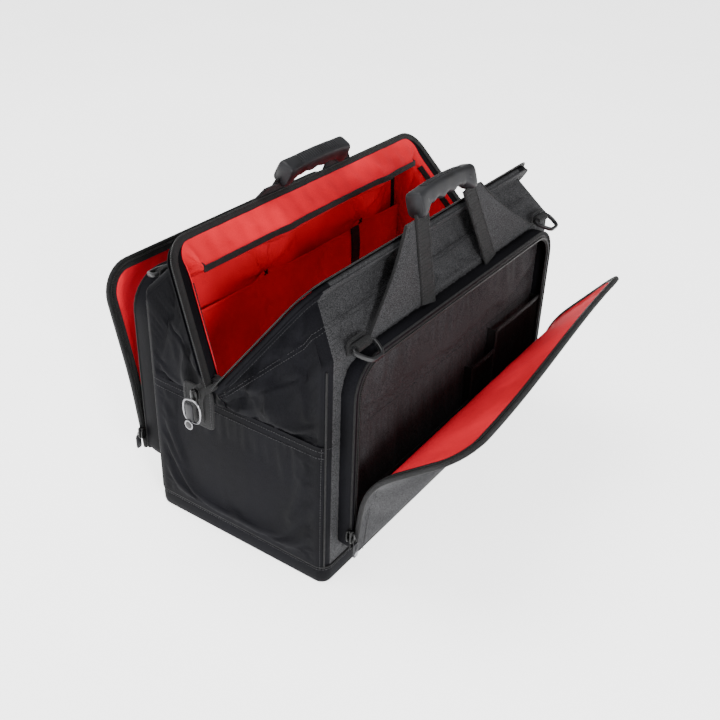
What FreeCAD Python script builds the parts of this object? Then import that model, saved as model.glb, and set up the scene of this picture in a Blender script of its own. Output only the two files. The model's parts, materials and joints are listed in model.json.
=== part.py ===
import FreeCAD, Part
import math
import os
import re
import Sketcher

# Wide-mouth equipment holdall: a framed, zipped bag with two side pockets.
#
# Millimetres, +Z up. X is the long axis, -Y the front. The origin is the centre of
# the base, on the surface that the bag stands on. Every driving size is a cell of
# the sheet "dim"; the sub-parts read those cells through expressions.

Vector = FreeCAD.Vector
Rotation = FreeCAD.Rotation
Placement = FreeCAD.Placement
X_AXIS = Vector(1, 0, 0)
Y_AXIS = Vector(0, 1, 0)
Z_AXIS = Vector(0, 0, 1)

SIZES = {
    # main body
    "length": 520, "width": 264, "wall": 8, "corner": 14,
    "base": 3, "band": 4, "band_top": 25, "board_top": 8, "floor_top": 14,
    "lining": 2, "fit": 0.2, "shoulder": 200, "panel_top": 306,
    # mouth frames, drawn closed about the pivot line and then opened
    "pivot_z": 243, "pivot_x": 286, "reach": 151, "mouth_half": 243,
    "mouth_angle": 35.6, "bar_radius": 3, "bar_bend": 28, "bar_y": 5.5,
    "bar_start": 14, "eye_radius": 8.5, "eye_thick": 3, "eye_gap": 0.3,
    "rivet_radius": 3, "rivet_play": 0.06, "rivet_head": 6, "rivet_head_thick": 1.6,
    "sleeve_thick": 9, "sleeve_wide": 17, "sleeve_foot": 22, "sleeve_over": 5,
    "sleeve_inner": 1, "tape_thick": 0.7, "tape_over": 4,
    # side pockets and their flaps
    "pocket_half": 236, "pocket_low": 50, "pocket_high": 300, "pocket_wall": 4,
    "pocket_round": 45, "front_depth": 20, "rear_depth": 45,
    "zip_wide": 13, "zip_thick": 1.5, "flap_gap": 0.5, "flap_skin": 1.5,
    "flap_pad": 4.5, "flap_fold": 150, "fold_gap": 0.5,
    "front_flap_angle": 6, "front_fold_angle": 46,
    "rear_flap_angle": 8, "rear_fold_angle": 6,
    # pouches in the front pocket, and the sleeve inside the bag
    "mesh": 1.5, "pouch_depth": 14, "pouch_low": 54,
    "wide_pouch_top": 110, "pen_pouch_top": 160, "tall_pouch_top": 190,
    "pouch_end": 228, "pen_left": 40, "pen_right": 98, "pouch_gap": 2,
    "sleeve_top": 256, "sleeve_depth": 12, "sleeve_half": 246, "sleeve_sheet": 2,
    "tie_left": 118, "tie_right": 140, "tie_long": 68, "tie_over": 4,
    # handles, drawn upright and then leaned over the mouth
    "handle_y": 136, "handle_z": 303, "strap": 3, "strap_low": 306,
    "grip_low": 397, "grip_high": 431, "grip_half": 62, "grip_thick": 24,
    "wing_foot_out": 196, "wing_foot_in": 60, "wing_top_out": 85, "wing_top_in": 42,
    "front_handle_lean": 17, "rear_handle_lean": 28,
    # D-rings
    "ring_x": 212, "ring_y": 140, "ring_z": 312, "ring_bar": 2.5, "ring_tilt": 70,
    "ring_half": 19, "ring_foot_half": 10, "ring_drop": 25,
    "tab_half": 13, "tab_thick": 8, "patch": 2, "ring_play": 0.15,
    # zipper sliders and pulls
    "slider_x": 240.6, "slider_z": 76, "slider_half": 4.2, "slider_tall": 9,
    "slider_thick": 9, "pull_wide": 8.6, "pull_long": 27, "pull_thick": 2.6,
    "badge_radius": 5, "badge_thick": 1.4, "bail": 1.5,
    "park_x": 300, "park_y": 18, "park_z": 235, "park_half": 22, "park_low": 188,
    "loop_long": 15, "loop_half": 14, "loop_flat": 8, "loop_bar": 1.5,
    "tab_gap": 0.8, "tab_deep": 3, "tab_long": 24,
}
FUNCTIONS = {"sin", "cos", "tan", "atan", "sqrt"}

doc = FreeCAD.newDocument("Holdall")
dim = doc.addObject("Spreadsheet::Sheet", "dim")
for row, (alias, value) in enumerate(SIZES.items(), start=1):
    dim.set("A%d" % row, alias)
    dim.set("B%d" % row, str(value))
    dim.setAlias("B%d" % row, alias)
doc.recompute()

nodes = {}


# ---------------------------------------------------------------- small helpers
def size(alias):
    """The number in the sheet's cell of that name."""
    return float(dim.get(alias))


def bind(text):
    """An expression written with bare cell names, as FreeCAD reads it."""
    def cell(found):
        word = found.group(0)
        return word if word in FUNCTIONS else "dim." + word
    return re.sub(r"[a-z][a-z_]+", cell, str(text))


def keep(label, obj):
    """Names obj as the sub-part `label` of the model."""
    obj.Label = label
    nodes[label] = obj
    return obj


def box(label, low, high):
    """A box between two corners, each three expressions."""
    solid = doc.addObject("Part::Box", label)
    for axis, side, a, b in zip("xyz", ("Length", "Width", "Height"), low, high):
        solid.setExpression(side, bind("(%s) - (%s)" % (b, a)))
        solid.setExpression("Placement.Base." + axis, bind(a))
    return solid


def cylinder(label, radius, start, length, direction=X_AXIS):
    """A cylinder from `start` along X, Y or Z; sizes are expressions."""
    solid = doc.addObject("Part::Cylinder", label)
    solid.Placement = Placement(Vector(), Rotation(Z_AXIS, direction))
    solid.setExpression("Radius", bind(radius))
    solid.setExpression("Height", bind(length))
    for axis, value in zip("xyz", start):
        solid.setExpression("Placement.Base." + axis, bind(value))
    return solid


def group(label, members):
    """Separate solids that share one node."""
    obj = doc.addObject("Part::Compound", label)
    obj.Links = members
    return obj


def fuse(label, members):
    obj = doc.addObject("Part::MultiFuse", label)
    obj.Shapes = members
    obj.Refine = True
    return obj


def cut(label, base, tool):
    obj = doc.addObject("Part::Cut", label)
    obj.Base = base
    obj.Tool = tool
    return obj


def origin_plane(body, role):
    return next(o for o in body.Origin.OriginFeatures if o.Role == role)


def new_sketch(body, role, offset="0"):
    """A sketch on one of the body's origin planes, moved along its normal."""
    sketch = body.newObject("Sketcher::SketchObject", "Sketch")
    sketch.AttachmentSupport = [(origin_plane(body, role + "_Plane"), "")]
    sketch.MapMode = "FlatFace"
    sketch.setExpression("AttachmentOffset.Base.z", bind(offset))
    return sketch


def value(text):
    """The number an expression has now."""
    return float(dim.evalExpression(str(text)))


def pin_down(sketch, edge, end, across, up):
    """Fixes one end of an edge at two expressions from the sketch's origin."""
    for kind, text in (("DistanceX", across), ("DistanceY", up)):
        index = sketch.addConstraint(Sketcher.Constraint(kind, -1, 1, edge, end, value(text)))
        sketch.setExpression("Constraints[%d]" % index, bind(text))


def draw_loop(sketch, points):
    """A closed polygon whose corners are pairs of expressions."""
    first = sketch.GeometryCount
    count = len(points)
    spots = [Vector(value(across), value(up), 0) for across, up in points]
    for i in range(count):
        sketch.addGeometry(Part.LineSegment(spots[i], spots[(i + 1) % count]), False)
    for i in range(count):
        follower = first + (i + 1) % count
        sketch.addConstraint(Sketcher.Constraint("Coincident", first + i, 2, follower, 1))
    for i, (across, up) in enumerate(points):
        pin_down(sketch, first + i, 1, across, up)


def pad(label, role, loops, start, thick, rounds=()):
    """A body padded from an outline, from `start` to `start + thick` along +axis.

    role is XY, YZ or XZ. rounds lists (radius, test) pairs: every edge along the
    pad's direction whose middle passes the test is rounded by that radius.
    """
    body = doc.addObject("PartDesign::Body", label)
    flipped = role == "XZ"
    offset = "-(%s)" % start if flipped else start
    sketch = new_sketch(body, role, offset)
    for points in loops:
        draw_loop(sketch, points)
    feature = body.newObject("PartDesign::Pad", "Pad")
    feature.Profile = sketch
    feature.setExpression("Length", bind(thick))
    feature.Reversed = flipped
    doc.recompute()
    direction = {"XY": Z_AXIS, "YZ": X_AXIS, "XZ": Y_AXIS}[role]
    for radius, test in rounds:
        names = [
            "Edge%d" % i
            for i, edge in enumerate(feature.Shape.Edges, start=1)
            if along(edge, direction) and test(edge.CenterOfMass)
        ]
        rounded = body.newObject("PartDesign::Fillet", "Round")
        rounded.Base = (feature, names)
        rounded.setExpression("Radius", bind(radius))
        doc.recompute()
        feature = rounded
    return body


def along(edge, direction):
    if edge.Curve.TypeId != "Part::GeomLine":
        return False
    return abs(abs(edge.tangentAt(edge.FirstParameter).dot(direction)) - 1) < 1e-6


def rectangle(x0, x1, y0, y1):
    return [(x0, y0), (x1, y0), (x1, y1), (x0, y1)]


def outward(side, near, far):
    """(low, high) expressions along Y between two distances from the middle."""
    if side == "front":
        return "-(%s)" % far, "-(%s)" % near
    return near, far


def turned(line_y, line_z, degrees):
    """The placement that turns a piece about a line along X; + takes +Z to -Y."""
    centre = Vector(0, line_y, line_z)
    return Placement(Vector(), Rotation(X_AXIS, degrees), centre)


# ---------------------------------------------------------------- base and walls
def make_base():
    half_x, half_y = "length / 2", "width / 2"
    any_edge = lambda middle: True
    plate = rectangle("-" + half_x, half_x, "-" + half_y, half_y)
    keep("base_panel", pad("base_panel", "XY", [plate], "0", "base", [("corner", any_edge)]))
    inner_x, inner_y = half_x + " - band", half_y + " - band"
    hole = rectangle("-(%s)" % inner_x, inner_x, "-(%s)" % inner_y, inner_y)
    outer = lambda middle: abs(middle.x) > size("length") / 2 - size("band") / 2
    inner = lambda middle: not outer(middle)
    rounds = [("corner", outer), ("corner - band", inner)]
    keep("base_band", pad("base_band", "XY", [plate, hole], "base", "band_top - base", rounds))
    board_x, board_y = inner_x + " - fit", inner_y + " - fit"
    board = rectangle("-(%s)" % board_x, board_x, "-(%s)" % board_y, board_y)
    keep("base_board", pad("base_board", "XY", [board], "base", "board_top - base",
                           [("corner - band", any_edge)]))
    floor_x, floor_y = "length / 2 - wall - fit", "width / 2 - wall - fit"
    keep("floor_pad", box("floor_pad", ("-(%s)" % floor_x, "-(%s)" % floor_y, "board_top"),
                          (floor_x, floor_y, "floor_top")))


def make_walls():
    for name, low, high in (("left", "-length / 2", "-length / 2 + wall"),
                            ("right", "length / 2 - wall", "length / 2")):
        keep(name + "_end_panel", box(name + "_end_panel", (low, "-width / 2", "band_top"),
                                      (high, "width / 2", "shoulder")))
    sheets = []
    for side in ("front", "rear"):
        y0, y1 = outward(side, "width / 2 - wall", "width / 2")
        keep(side + "_panel", box(side + "_panel", ("-(length / 2 - wall)", y0, "band_top"),
                                  ("length / 2 - wall", y1, "panel_top")))
        y0, y1 = outward(side, "width / 2 - wall - fit - lining", "width / 2 - wall - fit")
        end = "length / 2 - wall - fit"
        sheets.append(box(side + "_lining", ("-(%s)" % end, y0, "floor_top"),
                          (end, y1, "panel_top")))
    edge_y = "width / 2 - wall - fit - lining - fit"
    outer_x, inner_x = "length / 2 - wall - fit", "length / 2 - wall - fit - lining"
    sheets.append(box("left_lining", ("-(%s)" % outer_x, "-(%s)" % edge_y, "floor_top"),
                      ("-(%s)" % inner_x, edge_y, "shoulder")))
    sheets.append(box("right_lining", (inner_x, "-(%s)" % edge_y, "floor_top"),
                      (outer_x, edge_y, "shoulder")))
    keep("body_lining", group("body_lining", sheets))


def make_inner_sleeve():
    """A document sleeve on the rear wall's lining: a sheet and two side strips."""
    back = "width / 2 - wall - fit - lining"
    face = back + " - sleeve_depth"
    sheet = box("sleeve_sheet", ("-sleeve_half", face + " - sleeve_sheet", "floor_top"),
                ("sleeve_half", face, "sleeve_top"))
    left = box("sleeve_left", ("-sleeve_half", face, "floor_top"),
               ("-sleeve_half + sleeve_sheet", back, "sleeve_top"))
    right = box("sleeve_right", ("sleeve_half - sleeve_sheet", face, "floor_top"),
                ("sleeve_half", back, "sleeve_top"))
    keep("inner_sleeve", group("inner_sleeve", [sheet, left, right]))
    keep("inner_sleeve_strap", box("inner_sleeve_strap",
                                   ("tie_left", face + " - 2 * sleeve_sheet", "sleeve_top - tie_long"),
                                   ("tie_right", face + " - sleeve_sheet", "sleeve_top + tie_over")))


# ---------------------------------------------------------------- mouth frames
def make_bar(label, radius):
    """A bent round bar on the line of a mouth frame: half a pipe and its mirror."""
    body = doc.addObject("PartDesign::Body", label)
    path = new_sketch(body, "XZ", "bar_y")
    reach, bend = size("reach"), size("bar_bend")
    corner = Vector(-size("mouth_half"), reach, 0)
    down = Vector(size("mouth_half") - size("pivot_x"), -reach, 0).normalize()
    foot = corner + down * ((size("bar_start") - reach) / down.y)
    half_turn = X_AXIS.getAngle(down) / 2
    tangent = bend / math.tan(half_turn)
    start, stop = corner + X_AXIS * tangent, corner + down * tangent
    bisector = (X_AXIS + down).normalize()
    middle = corner + bisector * (bend / math.sin(half_turn) - bend)
    path.addGeometry(Part.LineSegment(Vector(0, reach, 0), start), False)
    path.addGeometry(Part.Arc(start, middle, stop), False)
    path.addGeometry(Part.LineSegment(stop, foot), False)
    path.addConstraint(Sketcher.Constraint("Tangent", 0, 2, 1, 1))
    path.addConstraint(Sketcher.Constraint("Tangent", 1, 2, 2, 1))
    pin_down(path, 0, 1, "0", "reach")
    path.addConstraint(Sketcher.Constraint("Horizontal", 0))
    index = path.addConstraint(Sketcher.Constraint("Radius", 1, bend))
    path.setExpression("Constraints[%d]" % index, "dim.bar_bend")
    pin_down(path, 2, 2, "-pivot_x + (pivot_x - mouth_half) * bar_start / reach", "bar_start")
    ring = new_sketch(body, "YZ")
    ring.addGeometry(Part.Circle(Vector(-size("bar_y"), reach, 0), Z_AXIS, value(radius)), False)
    pin_down(ring, 0, 3, "-bar_y", "reach")
    index = ring.addConstraint(Sketcher.Constraint("Radius", 0, value(radius)))
    ring.setExpression("Constraints[%d]" % index, bind(radius))
    pipe = body.newObject("PartDesign::AdditivePipe", "Pipe")
    pipe.Profile = ring
    pipe.Spine = path
    doc.recompute()
    mirror = body.newObject("PartDesign::Mirrored", "Mirror")
    mirror.Originals = [pipe]
    mirror.MirrorPlane = (origin_plane(body, "YZ_Plane"), [""])
    body.Tip = mirror
    doc.recompute()
    return body


def make_eye(label, low_x):
    """The flattened end of the bar: an eye about the pivot and a lug up to the bar."""
    disc = cylinder(label + "_disc", "eye_radius", (low_x, "0", "0"), "eye_thick")
    lug = box(label + "_lug", (low_x, "-(bar_y + bar_radius - 0.6)", "0"),
              ("%s + eye_thick" % low_x, "-(bar_y - bar_radius + 0.6)", "bar_start + 4"))
    hole = cylinder(label + "_hole", "rivet_radius + rivet_play", ("%s - 1" % low_x, "0", "0"),
                    "eye_thick + 2")
    return cut(label, fuse(label + "_blank", [disc, lug]), hole)


def leg_x(height, inset="0"):
    """Distance from the middle of a leg's outer line at that height, less inset."""
    return "pivot_x + sleeve_wide / 2 - (pivot_x - mouth_half) * (%s) / reach - (%s)" % (height, inset)


def arch(top, foot, inset, wide):
    """A U outline that follows a frame: legs from `foot` up to a bar at `top`."""
    low = "(%s) - (%s)" % (top, wide)
    outer = [(leg_x(foot, inset), foot), (leg_x(top, inset), top)]
    within = "%s + %s" % (inset, wide)
    inner = [(leg_x(low, within), low), (leg_x(foot, within), foot)]
    right = outer[:1] + outer[1:]
    left = [("-(%s)" % x, z) for x, z in reversed(right)]
    back = [("-(%s)" % x, z) for x, z in reversed(inner)] + inner
    return right + left + back


def make_frame(side):
    """One mouth frame: bar with eyes, fabric sleeve and zipper tape, opened."""
    outer_low = "-(pivot_x + eye_gap / 2 + eye_thick - 2.4)"
    bar = make_bar(side + "_bar", "bar_radius")
    left_eye = make_eye(side + "_left_eye", outer_low)
    right_eye = make_eye(side + "_right_eye", "pivot_x - 2.4 - eye_gap / 2 - eye_thick")
    spring = fuse(side + "_frame_bar", [bar, left_eye, right_eye])
    top, low = "reach + sleeve_over", "reach + sleeve_over - sleeve_wide"
    high = lambda middle: middle.z > size("reach") - size("sleeve_wide")
    rounding = [("bar_bend", high)]
    blank = pad(side + "_sleeve_blank", "XZ", [arch(top, "sleeve_foot", "0", "sleeve_wide")],
                "-(sleeve_inner + sleeve_thick)", "sleeve_thick", rounding)
    channel = make_bar(side + "_channel", "bar_radius + fit")
    sleeve = cut(side + "_mouth_sleeve", blank, channel)
    tape = pad(side + "_mouth_tape", "XZ",
               [arch("reach + sleeve_over + tape_over", "sleeve_foot", "-tape_over", "sleeve_wide")],
               "-(sleeve_inner - 0.1)", "tape_thick", rounding)
    rest = Placement(Vector(0, 0, size("pivot_z")), Rotation(X_AXIS, size("mouth_angle")))
    if side == "rear":
        rest = Placement(Vector(), Rotation(Z_AXIS, 180)).multiply(rest)
    for name, piece in (("_frame_bar", spring), ("_mouth_sleeve", sleeve), ("_mouth_tape", tape)):
        piece.Placement = rest
        keep(side + name, piece)


def make_pivots():
    """Rivets through the frames' eyes, and the webbing tabs that hold them."""
    rivets, tabs = [], []
    tip = "pivot_x - 2.4 + eye_gap / 2 + eye_thick"
    root = "pivot_x - 2.4 - eye_gap / 2 - eye_thick - 0.3"
    for sign, name in (("-1", "left"), ("1", "right")):
        shank = cylinder(name + "_rivet_shank", "rivet_radius",
                         ("%s * (pivot_x - 2.4) - 8" % sign, "0", "pivot_z"), "16")
        inner = head(name + "_rivet_inner", sign, root + " - 3 - rivet_head_thick")
        outer = head(name + "_rivet_outer", sign, tip + " + 0.3")
        rivets.append(fuse(name + "_rivet", [shank, inner, outer]))
        tab = [("-(length / 2 - 1)", "shoulder + 0.3"), ("-(length / 2 - 6)", "shoulder + 0.3"),
               ("-(%s - 3)" % root, "pivot_z - 7"), ("-(%s - 3)" % root, "pivot_z + 8"),
               ("-(%s)" % root, "pivot_z + 8"), ("-(%s)" % root, "pivot_z - 9")]
        if name == "right":
            tab = [(x[1:], z) for x, z in tab]
        blank = pad(name + "_tab_blank", "XZ", [tab], "-7", "14")
        hole = cylinder(name + "_tab_hole", "rivet_radius",
                        ("%s * (pivot_x - 2.4) - 20" % sign, "0", "pivot_z"), "40")
        tabs.append(cut(name + "_pivot_tab", blank, hole))
    keep("pivot_tabs", group("pivot_tabs", tabs))
    keep("pivot_rivets", group("pivot_rivets", rivets))


def head(label, sign, near):
    """A rivet head whose near face is that far out along X."""
    start = near if sign == "1" else "-(%s + rivet_head_thick)" % near
    return cylinder(label, "rivet_head", (start, "0", "pivot_z"), "rivet_head_thick")


# ---------------------------------------------------------------- soft upper parts
def sewn_sheet(label, outline, triangles, thick):
    """A folded piece of cloth: a triangulated sheet, thickened along one vector."""
    back = [point + thick for point in outline]
    faces = [triangle_face([outline[i] for i in t]) for t in triangles]
    faces += [triangle_face([back[i] for i in reversed(t)]) for t in triangles]
    count = len(outline)
    for i in range(count):
        j = (i + 1) % count
        wire = Part.makePolygon([outline[i], outline[j], back[j], back[i], outline[i]])
        faces.append(Part.Face(wire))
    shell = Part.makeShell(faces)
    shell.sewShape()
    solid = Part.makeSolid(shell)
    if solid.Volume < 0:
        solid.reverse()
    obj = doc.addObject("Part::Feature", label)
    obj.Shape = solid
    return keep(label, obj)


def triangle_face(corners):
    return Part.Face(Part.makePolygon(corners + corners[:1]))


def under_leg(height):
    """A point just below a frame's sleeve, in the middle of its left leg."""
    local = Vector(-(size("pivot_x") - (size("pivot_x") - size("mouth_half")) * height / size("reach")),
                   -(size("sleeve_inner") + size("sleeve_thick") + 1.5), height)
    tilt = Rotation(X_AXIS, size("mouth_angle"))
    return tilt.multVec(local) + Vector(0, 0, size("pivot_z"))


def make_upper_parts():
    """Side strips below the frames' sleeves, and the four halves of the end gussets."""
    drop = under_leg(size("reach") + size("sleeve_over") - size("sleeve_wide"))
    low_y, low_z = size("width") / 2, size("panel_top")
    for side, sign in (("front", -1), ("rear", 1)):
        edge = sign * -drop.y
        section = [Vector(0, sign * low_y, low_z + 0.2), Vector(0, sign * (low_y - 5), low_z + 0.2),
                   Vector(0, edge - sign * 5, drop.z - 1.5), Vector(0, edge, drop.z - 0.5)]
        wire = Part.makePolygon(section + section[:1])
        half = size("mouth_half") - 30
        solid = Part.Face(wire).extrude(Vector(2 * half, 0, 0))
        solid.translate(Vector(-half, 0, 0))
        obj = doc.addObject("Part::Feature", side + "_upper_panel")
        obj.Shape = solid
        keep(side + "_upper_panel", obj)
    end, edge, rise = size("length") / 2, size("width") / 2 - 0.5, size("shoulder") + 0.2
    foot = under_leg(8)
    outline = [Vector(-end, -edge, rise), Vector(-end - 4, -60, rise), Vector(-end - 10, -0.5, rise),
               Vector(-end - 27, -0.5, size("pivot_z") - 11), foot, under_leg(75), under_leg(136),
               Vector(-end + 4, -edge, low_z - 0.5)]
    triangles = [(0, 1, 7), (7, 1, 5), (7, 5, 6), (1, 4, 5), (1, 3, 4), (1, 2, 3)]
    for end_name, flip_x in (("left", 1), ("right", -1)):
        for side, flip_y in (("front", 1), ("rear", -1)):
            points = [Vector(p.x * flip_x, p.y * flip_y, p.z) for p in outline]
            sewn_sheet("%s_gusset_%s" % (end_name, side), points, triangles, Vector(3.5 * flip_x, 0, 0))


# ---------------------------------------------------------------- side pockets
def tall_arch(half, low, high, wide):
    """A U outline, open at the bottom: two uprights and a top bar."""
    inner = "(%s) - (%s)" % (half, wide)
    under = "(%s) - (%s)" % (high, wide)
    return [("-(%s)" % half, low), ("-(%s)" % inner, low), ("-(%s)" % inner, under), (inner, under),
            (inner, low), (half, low), (half, high), ("-(%s)" % half, high)]


def top_rounding(wide):
    """Rounds for the top corners of an arch: outer and inner radius."""
    outer = lambda middle: middle.z > size("pocket_high") - 1 and abs(middle.x) > size("pocket_half") - 1
    inside = size("pocket_high") - size(wide)
    inner = lambda middle: abs(middle.z - inside) < 1
    return [("pocket_round", outer), ("pocket_round - " + wide, inner)]


def make_pocket(side):
    """The box of a side pocket: gusset, floor strip and the body half of its zip."""
    depth = "width / 2 + %s_depth" % side
    y0, y1 = outward(side, "width / 2", depth + " - zip_thick")
    gusset = pad(side + "_pocket_gusset", "XZ",
                 [tall_arch("pocket_half", "pocket_low", "pocket_high", "pocket_wall")],
                 y0, "(%s) - (%s)" % (y1, y0), top_rounding("pocket_wall"))
    floor = box(side + "_pocket_floor", ("-pocket_half", y0, "pocket_low - pocket_wall"),
                ("pocket_half", y1, "pocket_low"))
    keep(side + "_pocket_wall", group(side + "_pocket_wall", [gusset, floor]))
    y0, y1 = outward(side, depth + " - zip_thick", depth)
    keep(side + "_pocket_zip", pad(side + "_pocket_zip", "XZ",
                                   [tall_arch("pocket_half", "pocket_low", "pocket_high", "zip_wide")],
                                   y0, "zip_thick", top_rounding("zip_wide")))


def make_flap(side):
    """A pocket's flap in two halves that meet at a fold, drawn shut and then opened."""
    depth = "width / 2 + %s_depth + flap_gap" % side
    skin = outward(side, depth, depth + " + flap_skin")
    panel = outward(side, depth + " + flap_skin", depth + " + flap_skin + flap_pad")
    edge = "pocket_half - zip_wide"
    low, fold_low = "pocket_low + 0.5", "flap_fold - fold_gap / 2"
    fold_high, high = "flap_fold + fold_gap / 2", "pocket_high"
    top_outer = lambda middle: middle.z > size("pocket_high") - 1
    top_inner = lambda middle: middle.z > size("pocket_high") - size("zip_wide") - 1
    lower_skin = pad(side + "_flap_lower_skin", "XZ",
                     [rectangle("-pocket_half", "pocket_half", low, fold_low)], panel[0], "flap_pad")
    lower = {
        "flap_lower_lining": pad(side + "_flap_lower_lining", "XZ",
                                 [rectangle("-(%s)" % edge, edge, low, fold_low)],
                                 skin[0], "flap_skin"),
    }
    ends = (("left", "-pocket_half", "-(%s)" % edge), ("right", edge, "pocket_half"))
    strips = [pad("%s_flap_strip_%s" % (side, name), "XZ", [rectangle(x0, x1, low, fold_low)],
                  skin[0], "flap_skin") for name, x0, x1 in ends]
    lower["flap_lower_panel"] = group(side + "_flap_lower_panel", [lower_skin] + strips)
    upper_skin = pad(side + "_flap_upper_skin", "XZ",
                     [rectangle("-pocket_half", "pocket_half", fold_high, high)],
                     panel[0], "flap_pad", [("pocket_round", top_outer)])
    upper_zip = pad(side + "_flap_upper_zip", "XZ",
                    [tall_arch("pocket_half", fold_high, high, "zip_wide")],
                    skin[0], "flap_skin", top_rounding("zip_wide"))
    upper = {
        "flap_upper_panel": group(side + "_flap_upper_panel", [upper_skin, upper_zip]),
        "flap_upper_lining": pad(side + "_flap_upper_lining", "XZ",
                                 [rectangle("-(%s)" % edge, edge, fold_high, high + " - zip_wide")],
                                 skin[0], "flap_skin", [("pocket_round - zip_wide", top_inner)]),
    }
    sign = 1 if side == "front" else -1
    face = size("width") / 2 + size(side + "_depth") + size("flap_gap")
    outer_face = face + size("flap_skin") + size("flap_pad")
    opened = turned(-sign * face, size("pocket_low"), sign * size(side + "_flap_angle"))
    folded = turned(-sign * outer_face, size("flap_fold"), sign * size(side + "_fold_angle"))
    for name, piece in lower.items():
        piece.Placement = opened
        keep(side + "_" + name, piece)
    for name, piece in upper.items():
        piece.Placement = opened.multiply(folded)
        keep(side + "_" + name, piece)


def make_pouch(label, x0, x1, top):
    """A mesh pouch on the pocket's back wall: a face and two sides, open at the top."""
    back, face = "-width / 2", "-(width / 2 + pouch_depth)"
    front = box(label + "_face", (x0, face + " - mesh", "pouch_low"), (x1, face, top))
    left = box(label + "_left", (x0, face, "pouch_low"), ("%s + mesh" % x0, back, top))
    right = box(label + "_right", ("%s - mesh" % x1, face, "pouch_low"), (x1, back, top))
    floor = box(label + "_floor", (x0, face + " - mesh", "pocket_low"), (x1, back, "pouch_low"))
    keep(label, group(label, [front, left, right, floor]))


# ---------------------------------------------------------------- handles
def make_handle(side):
    """Grip and two straps, drawn upright about the strap seam and then leaned in."""
    sign = 1 if side == "front" else -1
    near, far = "handle_y - strap / 2", "handle_y + strap / 2"
    wing = [("wing_foot_in", "strap_low"), ("wing_foot_out", "strap_low"),
            ("wing_top_out", "grip_low"), ("wing_top_in", "grip_low")]
    mirrored = [("-" + x, z) for x, z in wing]
    y0 = outward(side, near, far)[0]
    straps = group(side + "_handle_straps", [pad(side + "_strap_left", "XZ", [mirrored], y0, "strap"),
                                             pad(side + "_strap_right", "XZ", [wing], y0, "strap")])
    y0 = outward(side, "handle_y - grip_thick / 2", "handle_y + grip_thick / 2")[0]
    half = [("grip_half", "grip_low"), ("grip_half", "grip_high - 7"), ("grip_half - 16", "grip_high")]
    outline = half + [("-(%s)" % x, z) for x, z in reversed(half)]
    notch = [("grip_half - 24", "grip_low + 7"), ("grip_half - 16", "grip_low")]
    outline += [("-(%s)" % x, z) for x, z in reversed(notch)] + notch
    grip = pad(side + "_grip", "XZ", [outline], y0, "grip_thick")
    leaned = turned(-sign * size("handle_y"), size("handle_z"), -sign * size(side + "_handle_lean"))
    for name, piece in (("_handle_straps", straps), ("_grip", grip)):
        piece.Placement = leaned
        keep(side + name, piece)


# ---------------------------------------------------------------- D-rings
def make_d_ring(side, end):
    """A plastic D-ring whose bar turns in its webbing tab, lying out over the pocket."""
    front = side == "front"
    middle = "-ring_x" if end == "left" else "ring_x"
    y_mid = outward(side, "ring_y", "ring_y")[0]
    name = "%s_%s_d_ring" % (side, end)
    low = "ring_z - ring_drop"
    outer = [("%s - ring_half" % middle, "ring_z + ring_bar"),
             ("%s + ring_half" % middle, "ring_z + ring_bar"),
             ("%s + ring_half" % middle, "ring_z - 8"), ("%s + ring_foot_half" % middle, low),
             ("%s - ring_foot_half" % middle, low), ("%s - ring_half" % middle, "ring_z - 8")]
    left, right = "%s - ring_half + 4.5" % middle, "%s + ring_half - 4.5" % middle
    inner = [(left, "ring_z - ring_bar"), (right, "ring_z - ring_bar"), (right, "ring_z - 7"),
             ("%s + ring_foot_half - 2" % middle, low + " + 4.5"),
             ("%s - ring_foot_half + 2" % middle, low + " + 4.5"), (left, "ring_z - 7")]
    plate = pad(name + "_plate", "XZ", [outer, inner], y_mid + " - ring_bar", "2 * ring_bar")
    window = box(name + "_window", (left, y_mid + " - 20", "ring_z - ring_bar"),
                 (right, y_mid + " + 20", "ring_z + 2 * ring_bar"))
    bar = cylinder(name + "_bar", "ring_bar", ("%s - ring_half + 2" % middle, y_mid, "ring_z"),
                   "2 * ring_half - 4")
    ring = fuse(name, [cut(name + "_open", plate, window), bar])
    turn = -size("ring_tilt") if front else size("ring_tilt")
    ring.Placement = turned(value(y_mid), size("ring_z"), turn)
    keep(name, ring)


def make_ring_mounts():
    """Webbing tabs sewn above the pockets, each bored for its D-ring's bar."""
    pieces = []
    for side in ("front", "rear"):
        for end in ("left", "right"):
            make_d_ring(side, end)
            middle = "-ring_x" if end == "left" else "ring_x"
            y_mid = outward(side, "ring_y", "ring_y")[0]
            name = "%s_%s_tab" % (side, end)
            y0, y1 = outward(side, "width / 2 + patch", "ring_y + 4.5")
            block = box(name + "_block", ("%s - tab_half" % middle, y0, "ring_z - tab_thick / 2"),
                        ("%s + tab_half" % middle, y1, "ring_z + tab_thick / 2"))
            bore = cylinder(name + "_bore", "ring_bar + ring_play",
                            ("%s - tab_half - 1" % middle, y_mid, "ring_z"), "2 * tab_half + 2")
            pieces.append(cut(name, block, bore))
            y0, y1 = outward(side, "width / 2", "width / 2 + patch")
            pieces.append(box(name + "_patch", ("%s - 15" % middle, y0, "pocket_high + 1"),
                              ("%s + 15" % middle, y1, "pocket_high + 18")))
    keep("d_ring_mounts", group("d_ring_mounts", pieces))


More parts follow.
